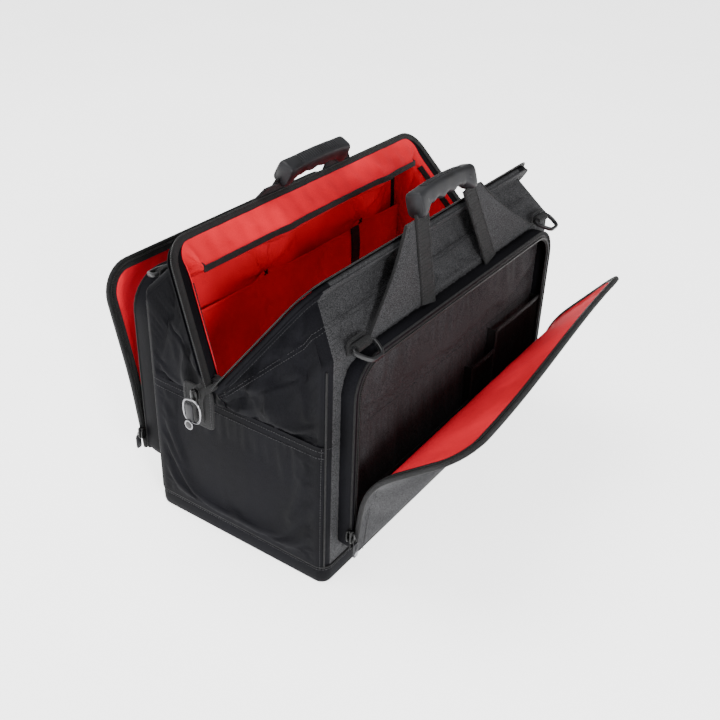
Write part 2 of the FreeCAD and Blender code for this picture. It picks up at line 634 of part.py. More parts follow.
# ---------------------------------------------------------------- sliders and pulls
def make_pocket_slider(side):
    """The zipper slider at the pocket's lower left corner, and its hanging pull."""
    face = "width / 2 + %s_depth + 5" % side
    y0, y1 = outward(side, face + " - slider_thick", face)
    name = side + "_slider"
    keep(name, box(name, ("-(slider_x + slider_half)", y0, "slider_z - slider_tall"),
                   ("-(slider_x - slider_half)", y1, "slider_z + slider_tall")))
    near = face + " + 1 + bail"
    y0, y1 = outward(side, near, near + " + pull_thick")
    tab = box(side + "_pull_tab", ("-(slider_x + pull_wide / 2)", y0, "slider_z - pull_long"),
              ("-(slider_x - pull_wide / 2)", y1, "slider_z + 0.7"))
    y0, y1 = outward(side, face + " + 1", near)
    bail = box(side + "_pull_bail", ("-(slider_x + 2)", y0, "slider_z - 5"),
               ("-(slider_x - 2)", y1, "slider_z + 0.7"))
    start = near + " + pull_thick - 0.5"
    y0 = outward(side, start, start + " + badge_thick")[0]
    badge = cylinder(side + "_pull_badge", "badge_radius - 1",
                     ("-slider_x", y0, "slider_z - pull_long + 5"), "badge_thick", Y_AXIS)
    keep(side + "_pull", fuse(side + "_pull", [tab, bail, badge]))


def make_main_slider():
    """The mouth zipper's parked slider, on a patch at the left end, with its pull."""
    keep("zip_park_patch", box("zip_park_patch", ("-(park_x - 4)", "park_y - park_half", "park_low"),
                               ("-(park_x - 6.5)", "park_y + park_half", "park_z + 6")))
    keep("main_slider", box("main_slider", ("-(park_x + 4)", "park_y - 5", "park_z - 12"),
                            ("-(park_x - 3.7)", "park_y + 5", "park_z + 4")))
    hang = "park_z - 8"
    foot = "(%s - 2 * loop_long)" % hang
    outer = eight_corners("loop_half", "loop_flat", foot, "(%s + 2)" % hang)
    inner = eight_corners("loop_half - 2 * loop_bar", "loop_flat - 1", "(%s + 2 * loop_bar)" % foot,
                          "(%s + 2 - 2 * loop_bar)" % hang)
    keep("main_pull_ring", pad("main_pull_ring", "YZ", [outer, inner],
                               "-(park_x + 4.9 + 2 * loop_bar)", "2 * loop_bar"))
    front = "park_x + 4.9 + 2 * loop_bar + tab_gap"
    keep("main_pull_tab", box("main_pull_tab",
                              ("-(%s + tab_deep)" % front, "park_y - 5", hang + " - tab_long - 2"),
                              ("-(%s)" % front, "park_y + 5", hang + " - 2")))
    keep("main_pull_badge", cylinder("main_pull_badge", "badge_radius + 1",
                                     ("-(%s + tab_deep + badge_thick)" % front, "park_y",
                                      hang + " - tab_long - 5"), "badge_thick"))


def eight_corners(half, flat, low, high):
    """An upright loop about park_y with its four corners cut off."""
    return [("park_y - (%s)" % half, low + " + 6"), ("park_y - (%s)" % flat, low),
            ("park_y + %s" % flat, low), ("park_y + %s" % half, low + " + 6"),
            ("park_y + %s" % half, high + " - 6"), ("park_y + %s" % flat, high),
            ("park_y - (%s)" % flat, high), ("park_y - (%s)" % half, high + " - 6")]


# ---------------------------------------------------------------- the whole bag
def build():
    make_base()
    make_walls()
    make_inner_sleeve()
    make_pivots()
    make_upper_parts()
    for side in ("front", "rear"):
        make_frame(side)
        make_pocket(side)
        make_flap(side)
        make_handle(side)
        make_pocket_slider(side)
    make_pouch("wide_pouch", "-pouch_end", "pen_left - pouch_gap", "wide_pouch_top")
    make_pouch("pen_pouch", "pen_left", "pen_right", "pen_pouch_top")
    make_pouch("tall_pouch", "pen_right + pouch_gap", "pouch_end", "tall_pouch_top")
    make_ring_mounts()
    make_main_slider()


def check_and_write():
    """Stops on any failed object or bad shape, and writes each sub-part."""
    doc.recompute()
    for obj in doc.Objects:
        if {"Invalid", "Error"} & set(obj.State):
            raise RuntimeError("%s is %s" % (obj.Label, obj.State))
    for label, obj in nodes.items():
        if obj.Shape.isNull() or not obj.Shape.isValid() or obj.Shape.Volume <= 0:
            raise RuntimeError("%s has a bad shape" % label)
    os.makedirs("parts", exist_ok=True)
    for label, obj in nodes.items():
        obj.Shape.exportStep(os.path.join("parts", label + ".step"))
    print("%d sub-parts written" % len(nodes))


build()
check_and_write()
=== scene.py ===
import json
import math

import bpy
import bmesh
from mathutils import Matrix, Vector
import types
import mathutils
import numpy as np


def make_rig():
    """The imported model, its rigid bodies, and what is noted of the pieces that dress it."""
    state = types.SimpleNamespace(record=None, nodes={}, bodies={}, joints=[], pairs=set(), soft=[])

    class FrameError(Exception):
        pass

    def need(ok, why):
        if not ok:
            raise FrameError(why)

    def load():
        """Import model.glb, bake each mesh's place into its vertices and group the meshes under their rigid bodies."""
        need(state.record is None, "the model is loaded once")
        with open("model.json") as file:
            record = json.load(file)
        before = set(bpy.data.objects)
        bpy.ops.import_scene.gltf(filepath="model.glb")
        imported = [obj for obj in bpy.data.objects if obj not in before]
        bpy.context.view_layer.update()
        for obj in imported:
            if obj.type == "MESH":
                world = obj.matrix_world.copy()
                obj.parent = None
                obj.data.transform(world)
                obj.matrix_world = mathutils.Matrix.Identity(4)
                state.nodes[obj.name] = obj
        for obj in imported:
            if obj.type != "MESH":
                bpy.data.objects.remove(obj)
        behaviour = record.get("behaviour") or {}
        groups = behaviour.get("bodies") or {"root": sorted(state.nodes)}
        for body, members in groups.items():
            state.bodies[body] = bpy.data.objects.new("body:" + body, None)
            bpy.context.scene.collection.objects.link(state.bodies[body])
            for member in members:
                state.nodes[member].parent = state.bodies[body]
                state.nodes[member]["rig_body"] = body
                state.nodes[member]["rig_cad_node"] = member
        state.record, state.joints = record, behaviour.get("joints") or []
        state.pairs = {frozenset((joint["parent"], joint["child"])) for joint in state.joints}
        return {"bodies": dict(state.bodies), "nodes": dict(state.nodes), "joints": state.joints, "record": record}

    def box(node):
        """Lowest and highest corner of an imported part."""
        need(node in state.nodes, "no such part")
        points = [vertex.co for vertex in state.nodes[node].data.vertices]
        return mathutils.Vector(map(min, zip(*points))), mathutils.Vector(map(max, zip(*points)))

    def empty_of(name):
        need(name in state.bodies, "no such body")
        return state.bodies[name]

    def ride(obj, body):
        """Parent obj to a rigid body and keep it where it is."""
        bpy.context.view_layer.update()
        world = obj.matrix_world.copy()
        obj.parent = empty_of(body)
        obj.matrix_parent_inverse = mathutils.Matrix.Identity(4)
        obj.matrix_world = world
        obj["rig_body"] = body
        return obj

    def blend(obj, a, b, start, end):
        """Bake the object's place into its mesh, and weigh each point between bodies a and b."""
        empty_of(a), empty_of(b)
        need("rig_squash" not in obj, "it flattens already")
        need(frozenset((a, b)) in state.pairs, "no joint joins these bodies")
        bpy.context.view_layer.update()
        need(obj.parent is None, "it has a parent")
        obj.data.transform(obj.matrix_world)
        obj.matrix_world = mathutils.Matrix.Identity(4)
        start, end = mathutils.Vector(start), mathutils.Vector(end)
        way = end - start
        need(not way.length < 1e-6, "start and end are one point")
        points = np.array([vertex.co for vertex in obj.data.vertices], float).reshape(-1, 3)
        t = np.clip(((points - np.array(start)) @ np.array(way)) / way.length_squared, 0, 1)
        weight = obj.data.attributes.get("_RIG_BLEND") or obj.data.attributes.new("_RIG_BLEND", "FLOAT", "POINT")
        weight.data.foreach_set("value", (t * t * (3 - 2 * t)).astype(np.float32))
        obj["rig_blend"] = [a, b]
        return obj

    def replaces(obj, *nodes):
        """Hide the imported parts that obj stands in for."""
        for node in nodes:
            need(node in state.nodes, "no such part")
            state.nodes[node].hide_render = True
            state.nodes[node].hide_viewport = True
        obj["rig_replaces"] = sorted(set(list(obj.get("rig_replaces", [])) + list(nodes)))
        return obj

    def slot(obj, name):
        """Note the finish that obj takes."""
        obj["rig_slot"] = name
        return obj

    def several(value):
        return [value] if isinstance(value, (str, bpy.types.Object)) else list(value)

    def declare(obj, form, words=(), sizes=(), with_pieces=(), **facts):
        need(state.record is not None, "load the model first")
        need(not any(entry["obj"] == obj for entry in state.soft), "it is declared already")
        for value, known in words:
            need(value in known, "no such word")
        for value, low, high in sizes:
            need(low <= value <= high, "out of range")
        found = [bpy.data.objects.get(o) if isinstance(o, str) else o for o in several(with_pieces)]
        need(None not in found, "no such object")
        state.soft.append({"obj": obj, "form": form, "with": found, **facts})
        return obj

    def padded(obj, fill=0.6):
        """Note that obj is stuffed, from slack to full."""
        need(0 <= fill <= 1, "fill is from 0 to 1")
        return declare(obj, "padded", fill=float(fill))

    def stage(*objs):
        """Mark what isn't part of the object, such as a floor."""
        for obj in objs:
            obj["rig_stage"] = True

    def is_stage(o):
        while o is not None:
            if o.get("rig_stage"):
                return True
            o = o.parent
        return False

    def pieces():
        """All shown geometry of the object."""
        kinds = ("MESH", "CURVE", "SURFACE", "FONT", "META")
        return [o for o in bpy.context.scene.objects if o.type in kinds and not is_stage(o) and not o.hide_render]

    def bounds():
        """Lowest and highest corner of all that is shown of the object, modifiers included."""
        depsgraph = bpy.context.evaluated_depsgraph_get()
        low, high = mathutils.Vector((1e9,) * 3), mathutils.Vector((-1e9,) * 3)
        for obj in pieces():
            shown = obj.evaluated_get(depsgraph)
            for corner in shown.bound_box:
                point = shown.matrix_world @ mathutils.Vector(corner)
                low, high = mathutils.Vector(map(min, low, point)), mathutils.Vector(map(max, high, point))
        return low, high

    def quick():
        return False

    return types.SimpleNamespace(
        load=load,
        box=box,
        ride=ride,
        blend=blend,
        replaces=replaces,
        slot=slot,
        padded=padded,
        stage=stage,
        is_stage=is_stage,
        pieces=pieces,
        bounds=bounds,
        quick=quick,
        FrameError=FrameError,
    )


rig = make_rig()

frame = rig.load()
cad_box = [list(corner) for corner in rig.bounds()]
record = frame["record"]
joints = {j["name"]: j for j in frame["joints"]}
mm = 0.001
X, Y, Z = Vector((1, 0, 0)), Vector((0, 1, 0)), Vector((0, 0, 1))


def mms(*values):
    """Millimetres as metres."""
    return tuple(v * mm for v in values)


TOOTH_STEP, THREAD_STEP = mms(2.1, 3.8)
NET_STEP = 3.2 * mm
SHARP = math.radians(58)     # edges that turn by more than this stay crisp

# ------------------------------------------------------------------ places read from the frame
band_low, band_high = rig.box("base_band")
half_x, half_y, band_top = band_high.x, band_high.y, band_high.z
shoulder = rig.box("left_end_panel")[1].z
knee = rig.box("front_panel")[1].z
floor_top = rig.box("floor_pad")[1].z
pivot_z = joints["front_frame_swing"]["pos_m"][2]
opening = -math.radians(joints["front_frame_swing"]["range_deg"][0])
SIDES = {"front": -1, "rear": 1}
LEG_FOOT, MOUTH_HALF, REACH, BEND = mms(286, 243, 151, 28)     # the closed frame, flat
CORNER = 14 * mm     # radius of the body's upright corners
FLAP_LONG, FLAP_FOLD = 250 * mm, 100 * mm     # along a flap, from its hinge


# ------------------------------------------------------------------ materials
def new_material(name, rough=0.8, metal=0.0, sheen=0.0, shine=0.5):
    mat = bpy.data.materials.new(name)
    mat.use_nodes = True
    shader = mat.node_tree.nodes["Principled BSDF"]
    shader.inputs["Roughness"].default_value = rough
    shader.inputs["Metallic"].default_value = metal
    shader.inputs["Sheen Weight"].default_value = sheen
    shader.inputs["Specular IOR Level"].default_value = shine
    return mat, mat.node_tree, shader


def node(tree, kind, **values):
    item = tree.nodes.new(kind)
    for key, value in values.items():
        if hasattr(item, key):
            setattr(item, key, value)
        else:
            item.inputs[key.replace("_", " ")].default_value = value
    return item


def noise(tree, scale, detail=3.0, stretch=(1, 1, 1)):
    """Noise over the object's own coordinates, scale in cells per metre."""
    place = node(tree, "ShaderNodeTexCoord")
    mapping = node(tree, "ShaderNodeMapping")
    mapping.inputs["Scale"].default_value = stretch
    tree.links.new(place.outputs["Object"], mapping.inputs["Vector"])
    found = node(tree, "ShaderNodeTexNoise", Scale=scale, Detail=detail)
    tree.links.new(mapping.outputs["Vector"], found.inputs["Vector"])
    return found.outputs["Fac"]


def weave(tree, pitch):
    """Crossing threads: a sine along each axis, added, so that any flat panel shows two."""
    place = node(tree, "ShaderNodeTexCoord")
    scaled = node(tree, "ShaderNodeVectorMath", operation="SCALE")
    scaled.inputs["Scale"].default_value = 2 * math.pi / pitch
    tree.links.new(place.outputs["Object"], scaled.inputs[0])
    wave = node(tree, "ShaderNodeVectorMath", operation="SINE")
    tree.links.new(scaled.outputs[0], wave.inputs[0])
    total = node(tree, "ShaderNodeVectorMath", operation="DOT_PRODUCT")
    tree.links.new(wave.outputs[0], total.inputs[0])
    total.inputs[1].default_value = (1, 1, 1)
    return total.outputs["Value"]


def ramp(tree, source, stops):
    found = node(tree, "ShaderNodeValToRGB")
    tree.links.new(source, found.inputs["Fac"])
    while len(found.color_ramp.elements) < len(stops):
        found.color_ramp.elements.new(0.5)
    for element, (place, colour) in zip(found.color_ramp.elements, stops):
        element.position = place
        element.color = (*colour, 1)
    return found.outputs["Color"]


def add_bump(tree, shader, layers):
    """Chains bump nodes: each layer is (height source, strength, distance in metres)."""
    last = None
    for source, strength, distance in layers:
        bump = node(tree, "ShaderNodeBump", Strength=strength, Distance=distance)
        tree.links.new(source, bump.inputs["Height"])
        if last:
            tree.links.new(last.outputs["Normal"], bump.inputs["Normal"])
        last = bump
    tree.links.new(last.outputs["Normal"], shader.inputs["Normal"])


def fabric(name, dark, light, pitch=1.6 * mm, rough=0.85, sheen=0.04, heather=0.5, wrinkle=0.35,
           shine=0.15):
    """Woven cloth: heather is the share of fine flecks in its colour, wrinkle its soft creases."""
    mat, tree, shader = new_material(name, rough, sheen=sheen, shine=shine)
    shader.inputs["Sheen Roughness"].default_value = 0.45
    shader.inputs["Sheen Tint"].default_value = (*[min(1, 2.2 * c + 0.1) for c in light], 1)
    fine = noise(tree, 1000, 2.0, (1, 1, 1.6))
    broad = noise(tree, 9, 4.0)
    mix = node(tree, "ShaderNodeMix", data_type="FLOAT")
    mix.inputs["Factor"].default_value = heather
    tree.links.new(broad, mix.inputs["A"])
    tree.links.new(fine, mix.inputs["B"])
    colour = ramp(tree, mix.outputs["Result"], [(0.40, dark), (0.62, light)])
    tree.links.new(colour, shader.inputs["Base Color"])
    spread = ramp(tree, broad, [(0.3, (rough - 0.1,) * 3), (0.7, (min(1, rough + 0.08),) * 3)])
    tree.links.new(spread, shader.inputs["Roughness"])
    add_bump(tree, shader, [(noise(tree, 38, 3.0), wrinkle, 1.5 * mm),
                            (weave(tree, pitch), 0.25, 0.1 * mm), (fine, 0.3, 0.15 * mm)])
    return mat


def ribbed(name, dark, light, pitch=1.2 * mm, rough=0.7):
    """Webbing and zipper tape: fine ribs and a little fuzz."""
    mat, tree, shader = new_material(name, rough, sheen=0.03, shine=0.2)
    fuzz = noise(tree, 700, 2.0)
    colour = ramp(tree, fuzz, [(0.35, dark), (0.7, light)])
    tree.links.new(colour, shader.inputs["Base Color"])
    add_bump(tree, shader, [(weave(tree, pitch), 0.8, 0.2 * mm), (fuzz, 0.3, 0.1 * mm)])
    return mat


def plastic(name, dark, light, rough=0.45, grain=900, metal=0.0, depth=0.05, shine=0.3):
    mat, tree, shader = new_material(name, rough, metal, shine=shine)
    speck = noise(tree, grain, 2.0)
    wear = noise(tree, 60, 4.0)
    colour = ramp(tree, wear, [(0.35, dark), (0.7, light)])
    tree.links.new(colour, shader.inputs["Base Color"])
    smoother, duller = max(0.05, rough - 0.08), min(1, rough + 0.12)
    spread = ramp(tree, wear, [(0.3, (smoother,) * 3), (0.75, (duller,) * 3)])
    tree.links.new(spread, shader.inputs["Roughness"])
    add_bump(tree, shader, [(speck, 0.4, depth * mm)])
    return mat


MATS = {
    "heather": fabric("heather_cloth", (0.007, 0.007, 0.0076), (0.057, 0.057, 0.060), heather=0.85),
    "smooth": fabric("smooth_cloth", (0.0018, 0.0018, 0.0024), (0.0065, 0.0065, 0.0085),
                     heather=0.45, rough=0.7, sheen=0.0, shine=0.06),
    "red": fabric("red_lining", (0.55, 0.004, 0.014), (0.80, 0.008, 0.026), pitch=1.1 * mm, rough=0.7,
                  heather=0.25, wrinkle=0.5, shine=0.2),
    "webbing": ribbed("webbing", (0.003, 0.003, 0.003), (0.012, 0.012, 0.013)),
    "zip": ribbed("zip_tape", (0.002, 0.002, 0.002), (0.008, 0.008, 0.0085), 0.9 * mm, 0.6),
    "mesh": ribbed("mesh_yarn", (0.003, 0.003, 0.003), (0.01, 0.01, 0.01)),
    "thread": ribbed("thread", (0.02, 0.02, 0.022), (0.05, 0.05, 0.054), 0.5 * mm),
    "teeth": plastic("zip_teeth", (0.004, 0.004, 0.004), (0.014, 0.014, 0.014), 0.35),
    "plastic": plastic("moulded_plastic", (0.005, 0.005, 0.0055), (0.018, 0.018, 0.019), 0.38),
    "grip": plastic("grip_rubber", (0.005, 0.005, 0.006), (0.015, 0.0155, 0.018), 0.5, 500, depth=0.12),
    "black_metal": plastic("black_metal", (0.01, 0.01, 0.01), (0.035, 0.035, 0.035), 0.3, 700, 0.9),
    "nickel": plastic("nickel", (0.16, 0.16, 0.17), (0.30, 0.30, 0.31), 0.25, 600, 1.0, 0.02),
    "steel": plastic("coated_steel", (0.012, 0.012, 0.013), (0.04, 0.04, 0.042), 0.35, 500, 0.6),
}


# ------------------------------------------------------------------ mesh helpers
def mesh_object(name, verts, faces, material):
    data = bpy.data.meshes.new(name)
    data.from_pydata([tuple(v) for v in verts], [], faces)
    data.materials.append(MATS[material])
    data.polygons.foreach_set("use_smooth", [True] * len(data.polygons))
    obj = bpy.data.objects.new(name, data)
    bpy.context.scene.collection.objects.link(obj)
    return obj


def grid_faces(rows, columns, closed=False):
    """Quads of a grid stored row by row; closed joins the last column to the first."""
    faces = []
    span = columns if closed else columns - 1
    for r in range(rows - 1):
        for c in range(span):
            low, d = r * columns, (c + 1) % columns
            faces.append((low + c, low + d, low + columns + d, low + columns + c))
    return faces


def sheet_rows(tall, wide, point):
    """Rows of a sheet whose points are point(u, t), with u and t from 0 to 1."""
    return [[point(c / wide, r / tall) for c in range(wide + 1)] for r in range(tall + 1)]


def grid_object(name, rows, material, closed=False):
    verts = [p for row in rows for p in row]
    return mesh_object(name, verts, grid_faces(len(rows), len(rows[0]), closed), material)


def apply_modifiers(obj):
    depsgraph = bpy.context.evaluated_depsgraph_get()
    data = bpy.data.meshes.new_from_object(obj.evaluated_get(depsgraph))
    obj.modifiers.clear()
    old, obj.data = obj.data, data
    bpy.data.meshes.remove(old)
    return obj


def thicken(obj, thickness, offset=-1.0):
    """Gives a sheet its thickness: offset -1 grows it inwards, 0 both ways."""
    solid = obj.modifiers.new("thick", "SOLIDIFY")
    solid.thickness = thickness
    solid.offset = offset
    apply_modifiers(obj)
    obj.data.set_sharp_from_angle(angle=SHARP)
    return obj


def finer(rows):
    """Doubles a grid's lines both ways, on a smooth curve through its points."""
    def denser(line):
        last = len(line) - 1
        found = []
        for i in range(last):
            before, after = line[max(0, i - 1)], line[min(last, i + 2)]
            found += [line[i], (line[i] + line[i + 1]) * 0.5625 - (before + after) * 0.0625]
        return found + [line[last]]
    columns = [denser(list(column)) for column in zip(*[denser(row) for row in rows])]
    return [list(row) for row in zip(*columns)]


def finer_shares(values, wide):
    """The same doubling for a flat list of shares between 0 and 1."""
    rows = finer([values[i:i + wide] for i in range(0, len(values), wide)])
    return [min(1.0, max(0.0, v)) for row in rows for v in row]


def close_skin(obj, *rings):
    """Fills each open ring, given as point numbers, and turns every face outwards."""
    work = bmesh.new()
    work.from_mesh(obj.data)
    work.verts.ensure_lookup_table()
    for ring in rings:
        work.faces.new([work.verts[i] for i in ring])
    bmesh.ops.recalc_face_normals(work, faces=work.faces)
    work.to_mesh(obj.data)
    work.free()


def face_up(obj):
    """Makes every face of a closed mesh look outwards, and its sharp edges crisp."""
    close_skin(obj)
    obj.data.set_sharp_from_angle(angle=SHARP)
    return obj


def loft(name, rings, material):
    """A skin over a run of rings, closed by a face at each end."""
    wide, count = len(rings[0]), len(rings) * len(rings[0])
    faces = grid_faces(len(rings), wide, True)
    faces += [tuple(range(wide)), tuple(range(count - 1, count - wide - 1, -1))]
    return face_up(mesh_object(name, [p for ring in rings for p in ring], faces, material))


def sweep(name, path, section, material, across, closed=False):
    """Carries a closed section (pairs: side, out) along a path.

    across gives the outward direction, one for all points or one for each; out is
    along it, side along the path's other normal.
    """
    count, rows = len(path), []
    if isinstance(across, Vector):
        across = [across] * count
    for i, point in enumerate(path):
        before = path[i - 1 if i or closed else 0]
        after = path[(i + 1) % count if closed or i + 1 < count else i]
        tangent = (after - before).normalized()
        side = tangent.cross(across[i]).normalized()
        out = side.cross(tangent).normalized()
        rows.append([point + side * a + out * b for a, b in section])
    if not closed:
        return loft(name, rows, material)
    wide = len(section)
    last = (count - 1) * wide
    faces = grid_faces(count, wide, True)
    faces += [(last + c, last + (c + 1) % wide, (c + 1) % wide, c) for c in range(wide)]
    return face_up(mesh_object(name, [p for row in rows for p in row], faces, material))


def oval(wide, high, power=2.0, steps=16):
    """A superellipse section, wide by high."""
    found = []
    for i in range(steps):
        a = 2 * math.pi * i / steps
        c, s = math.cos(a), math.sin(a)
        found.append((0.5 * wide * math.copysign(abs(c) ** (2 / power), c),
                      0.5 * high * math.copysign(abs(s) ** (2 / power), s)))
    return found


def beads(name, spots, size, material):
    """Small rounded blocks: each spot is (place, along, up) and size is (long, wide, high)."""
    verts, faces = [], []
    for place, along, up in spots:
        along = along.normalized()
        side = up.cross(along).normalized()
        up = along.cross(side).normalized()
        first = len(verts)
        for a, grow in ((-0.5, 0.55), (-0.28, 1.0), (0.28, 1.0), (0.5, 0.55)):
            for b, c in ((-1, -1), (1, -1), (1, 1), (-1, 1)):
                verts.append(place + along * size[0] * a + side * size[1] * 0.5 * b * grow
                             + up * size[2] * 0.5 * c * grow)
        for r in range(3):
            for c in range(4):
                low, d = first + r * 4, (c + 1) % 4
                faces.append((low + c, low + d, low + 4 + d, low + 4 + c))
        faces += [(first + 3, first + 2, first + 1, first), tuple(range(first + 12, first + 16))]
    return mesh_object(name, verts, faces, material)


def paces(path, step, start=0.0):
    """Even steps along a polyline, each as its span's number and the share of that span."""
    travelled = start
    for i, (a, b) in enumerate(zip(path, path[1:])):
        length = (b - a).length
        while travelled < length:
            yield i, travelled / length
            travelled += step
        travelled -= length


def evenly(path, step):
    """Points, and their directions, every `step` along a polyline."""
    return [(path[i].lerp(path[i + 1], t), (path[i + 1] - path[i]).normalized())
            for i, t in paces(path, step, step / 2)]


def ease(t):
    """0 to 1 with level ends."""
    t = min(1.0, max(0.0, t))
    return t * t * (3 - 2 * t)


def hump(t):
    """0 at both ends of 0 to 1 and 1 in the middle."""
    return math.sin(math.pi * t)


def wave_at(turns):
    return math.sin(2 * math.pi * turns)


def wear(pieces, body, slot):
    """Puts pieces on a body and names the material slot they share."""
    for piece in pieces:
        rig.ride(piece, body)
        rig.slot(piece, slot)


# ------------------------------------------------------------------ cloth
CLOTH_FRAMES, CLOTH_STIFF = 18, 8.0


def settle(obj, pinned, stretch, cap):
    """Lets a pinned sheet that is cut a little too large buckle, and applies the result."""
    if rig.quick():
        return obj
    start = [v.co.copy() for v in obj.data.vertices]
    group = obj.vertex_groups.new(name="held")
    for i, weight in enumerate(pinned):
        if weight > 0:
            group.add([i], weight, "REPLACE")
    cloth = obj.modifiers.new("cloth", "CLOTH")
    settings = cloth.settings
    settings.quality = 6
    settings.mass = 0.3
    settings.tension_stiffness = CLOTH_STIFF
    settings.compression_stiffness = CLOTH_STIFF
    settings.shear_stiffness = CLOTH_STIFF / 2
    settings.bending_stiffness = 0.6
    settings.vertex_group_mass = "held"
    settings.shrink_min = -stretch
    settings.effector_weights.gravity = 0.25
    cloth.collision_settings.use_collision = False
    scene = bpy.context.scene
    for step in range(1, CLOTH_FRAMES + 1):
        scene.frame_set(step)
    apply_modifiers(obj)
    scene.frame_set(1)
    for v, old in zip(obj.data.vertices, start):
        shift = v.co - old
        if shift.length > cap:
            v.co = old + shift * (cap / shift.length)
    obj.vertex_groups.clear()
    return obj


def follow(obj, a, b, weights):
    """obj bends between two jointed bodies, each point by its own share of body b.

    A sewn seam stays wholly with its body, which a straight run from start to end
    can't give on a gusset, so the shares are set point by point.
    """
    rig.blend(obj, a, b, start=(0, 0, 0), end=(0, 0, 1))
    obj.data.attributes["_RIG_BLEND"].data.foreach_set("value", weights)
    return obj


# ------------------------------------------------------------------ the mouth frame's line
def frame_line():
    """Left half of the mouth bar, closed and flat: (x, height, outward x, outward height)."""
    foot, top = Vector((-LEG_FOOT, 0)), Vector((-MOUTH_HALF, REACH))
    up = (top - foot).normalized()
    side = Vector((-up.y, up.x))
    run = BEND / math.tan(math.acos(-up.x) / 2)
    stop, start = top - up * run, top + Vector((1, 0)) * run
    centre = start - Vector((0, BEND))
    leg = [(foot.lerp(stop, t), side) for t in [i / 15 for i in range(16)]]
    a0 = math.atan2(stop.y - centre.y, stop.x - centre.x)
    arc = []
    for i in range(1, 7):
        a = a0 + (math.pi / 2 - a0) * i / 7
        out = Vector((math.cos(a), math.sin(a)))
        arc.append((centre + out * BEND, out))
    return leg, arc, start.x


LEG, ARC, BAR_X = frame_line()
BAR_STEPS = 56


def opened(x, y, height, sign):
    """A point of the flat, closed frame as it lies when the mouth is open."""
    out = -y * math.cos(opening) + height * math.sin(opening)
    up = y * math.sin(opening) + height * math.cos(opening)
    return Vector((x, sign * out, pivot_z + up))


def rim_columns():
    """In-plane points of the whole U, left foot to right foot, as (point, outward)."""
    left = LEG + ARC
    bar = [(Vector((BAR_X + (-2 * BAR_X) * i / BAR_STEPS, REACH)), Vector((0, 1)))
           for i in range(BAR_STEPS + 1)]
    right = [(Vector((-p.x, p.y)), Vector((-o.x, o.y))) for p, o in reversed(left)]
    return left + bar + right


RIM = rim_columns()


def u_path(sign, inset, y):
    """The U at `inset` outside the bar's own line, `y` behind its plane."""
    return [opened(p.x + o.x * inset, y, p.y + o.y * inset, sign) for p, o in RIM]


# ------------------------------------------------------------------ the body's shell
def footprint(inset):
    """Half of the body's outline, left middle to right middle, as (x, depth from middle)."""
    left = [Vector((-half_x + inset, (half_y - CORNER) * (i / 15))) for i in range(16)]
    arc = []
    for i in range(1, 7):
        a = math.radians(90 * i / 7)
        arc.append(Vector((-half_x + CORNER + (-CORNER + inset) * math.cos(a),
                           half_y - CORNER + (CORNER - inset) * math.sin(a))))
    x0 = half_x - CORNER
    bar = [Vector((-x0 + 2 * x0 * i / BAR_STEPS, half_y - inset)) for i in range(BAR_STEPS + 1)]
    right = [Vector((-p.x, p.y)) for p in reversed(left + arc)]
    return left + arc + bar + right


LOW, MID, TOP, LIP = 26, 12, 12, 5


# columns of the shell's half outline: an end's first ones, and where its long side begins
END_COLUMNS, LONG_START = 16, 22


def shell_rows(sign, inset, z0, y_plane, low_inset, high_inset, bulge, leg=None):
    """Rows of points from z0 up to the mouth's rim, and each one's share of the frame."""
    foot = footprint(inset)
    count = len(foot)
    columns, shares = [], []
    for i, (flat, (rim, out)) in enumerate(zip(foot, RIM)):
        edge = min(i, count - 1 - i)
        end = edge < END_COLUMNS
        t = edge / (END_COLUMNS - 1) if end else 1.0
        mirror = -1 if i < count / 2 else 1
        base = Vector((flat.x, sign * flat.y, z0))
        wall = Vector((flat.x, sign * flat.y, shoulder))
        on_bar = ease((edge - 13) / 9)
        drop, rise, back = low_inset, high_inset, y_plane
        if leg:
            drop, rise, back = [a + (b - a) * on_bar for a, b in zip(leg, (drop, rise, back))]
        low = opened(rim.x + out.x * drop, back, rim.y + out.y * drop, sign)
        high = opened(rim.x + out.x * rise, y_plane, rim.y + out.y * rise, sign)
        near = 1 - ease(edge / 2.2)
        mid_low = Vector((mirror * (LEG_FOOT - 4 * mm - inset), sign * 0.3 * mm, pivot_z - 13 * mm))
        mid_high = Vector((mirror * (LEG_FOOT - 1 * mm - inset), sign * 0.3 * mm, pivot_z - 8 * mm))
        low, high = low.lerp(mid_low, near), high.lerp(mid_high, near)
        if end:
            bend = wall.lerp(low, 0.5) + Vector((mirror * bulge, 0, 0)) * hump(0.15 + 0.7 * t)
        else:
            corner = ease((edge - END_COLUMNS + 1) / (LONG_START - END_COLUMNS + 1))
            bend = Vector((flat.x, sign * flat.y, knee - 8 * mm * (1 - corner)))
        column, share = [], []
        for r in range(LOW):
            column.append(base.lerp(wall, r / LOW))
            share.append(0.0)
        for r in range(MID):
            column.append(wall.lerp(bend, r / MID))
            share.append(0.5 * ease(r / MID) * (1 - near) if end else 0.0)
        for r in range(TOP):
            column.append(bend.lerp(low, r / TOP))
            start = 0.5 if end else 0.0
            share.append((start + (1 - start) * ease(r / TOP)) * (1 - near))
        for r in range(LIP):
            column.append(low.lerp(high, r / (LIP - 1)))
            share.append(1 - near)
        columns.append(column)
        shares.append(share)
    rows = [[c[r] for c in columns] for r in range(len(columns[0]))]
    weights = [s[r] for r in range(len(columns[0])) for s in shares]
    return rows, weights


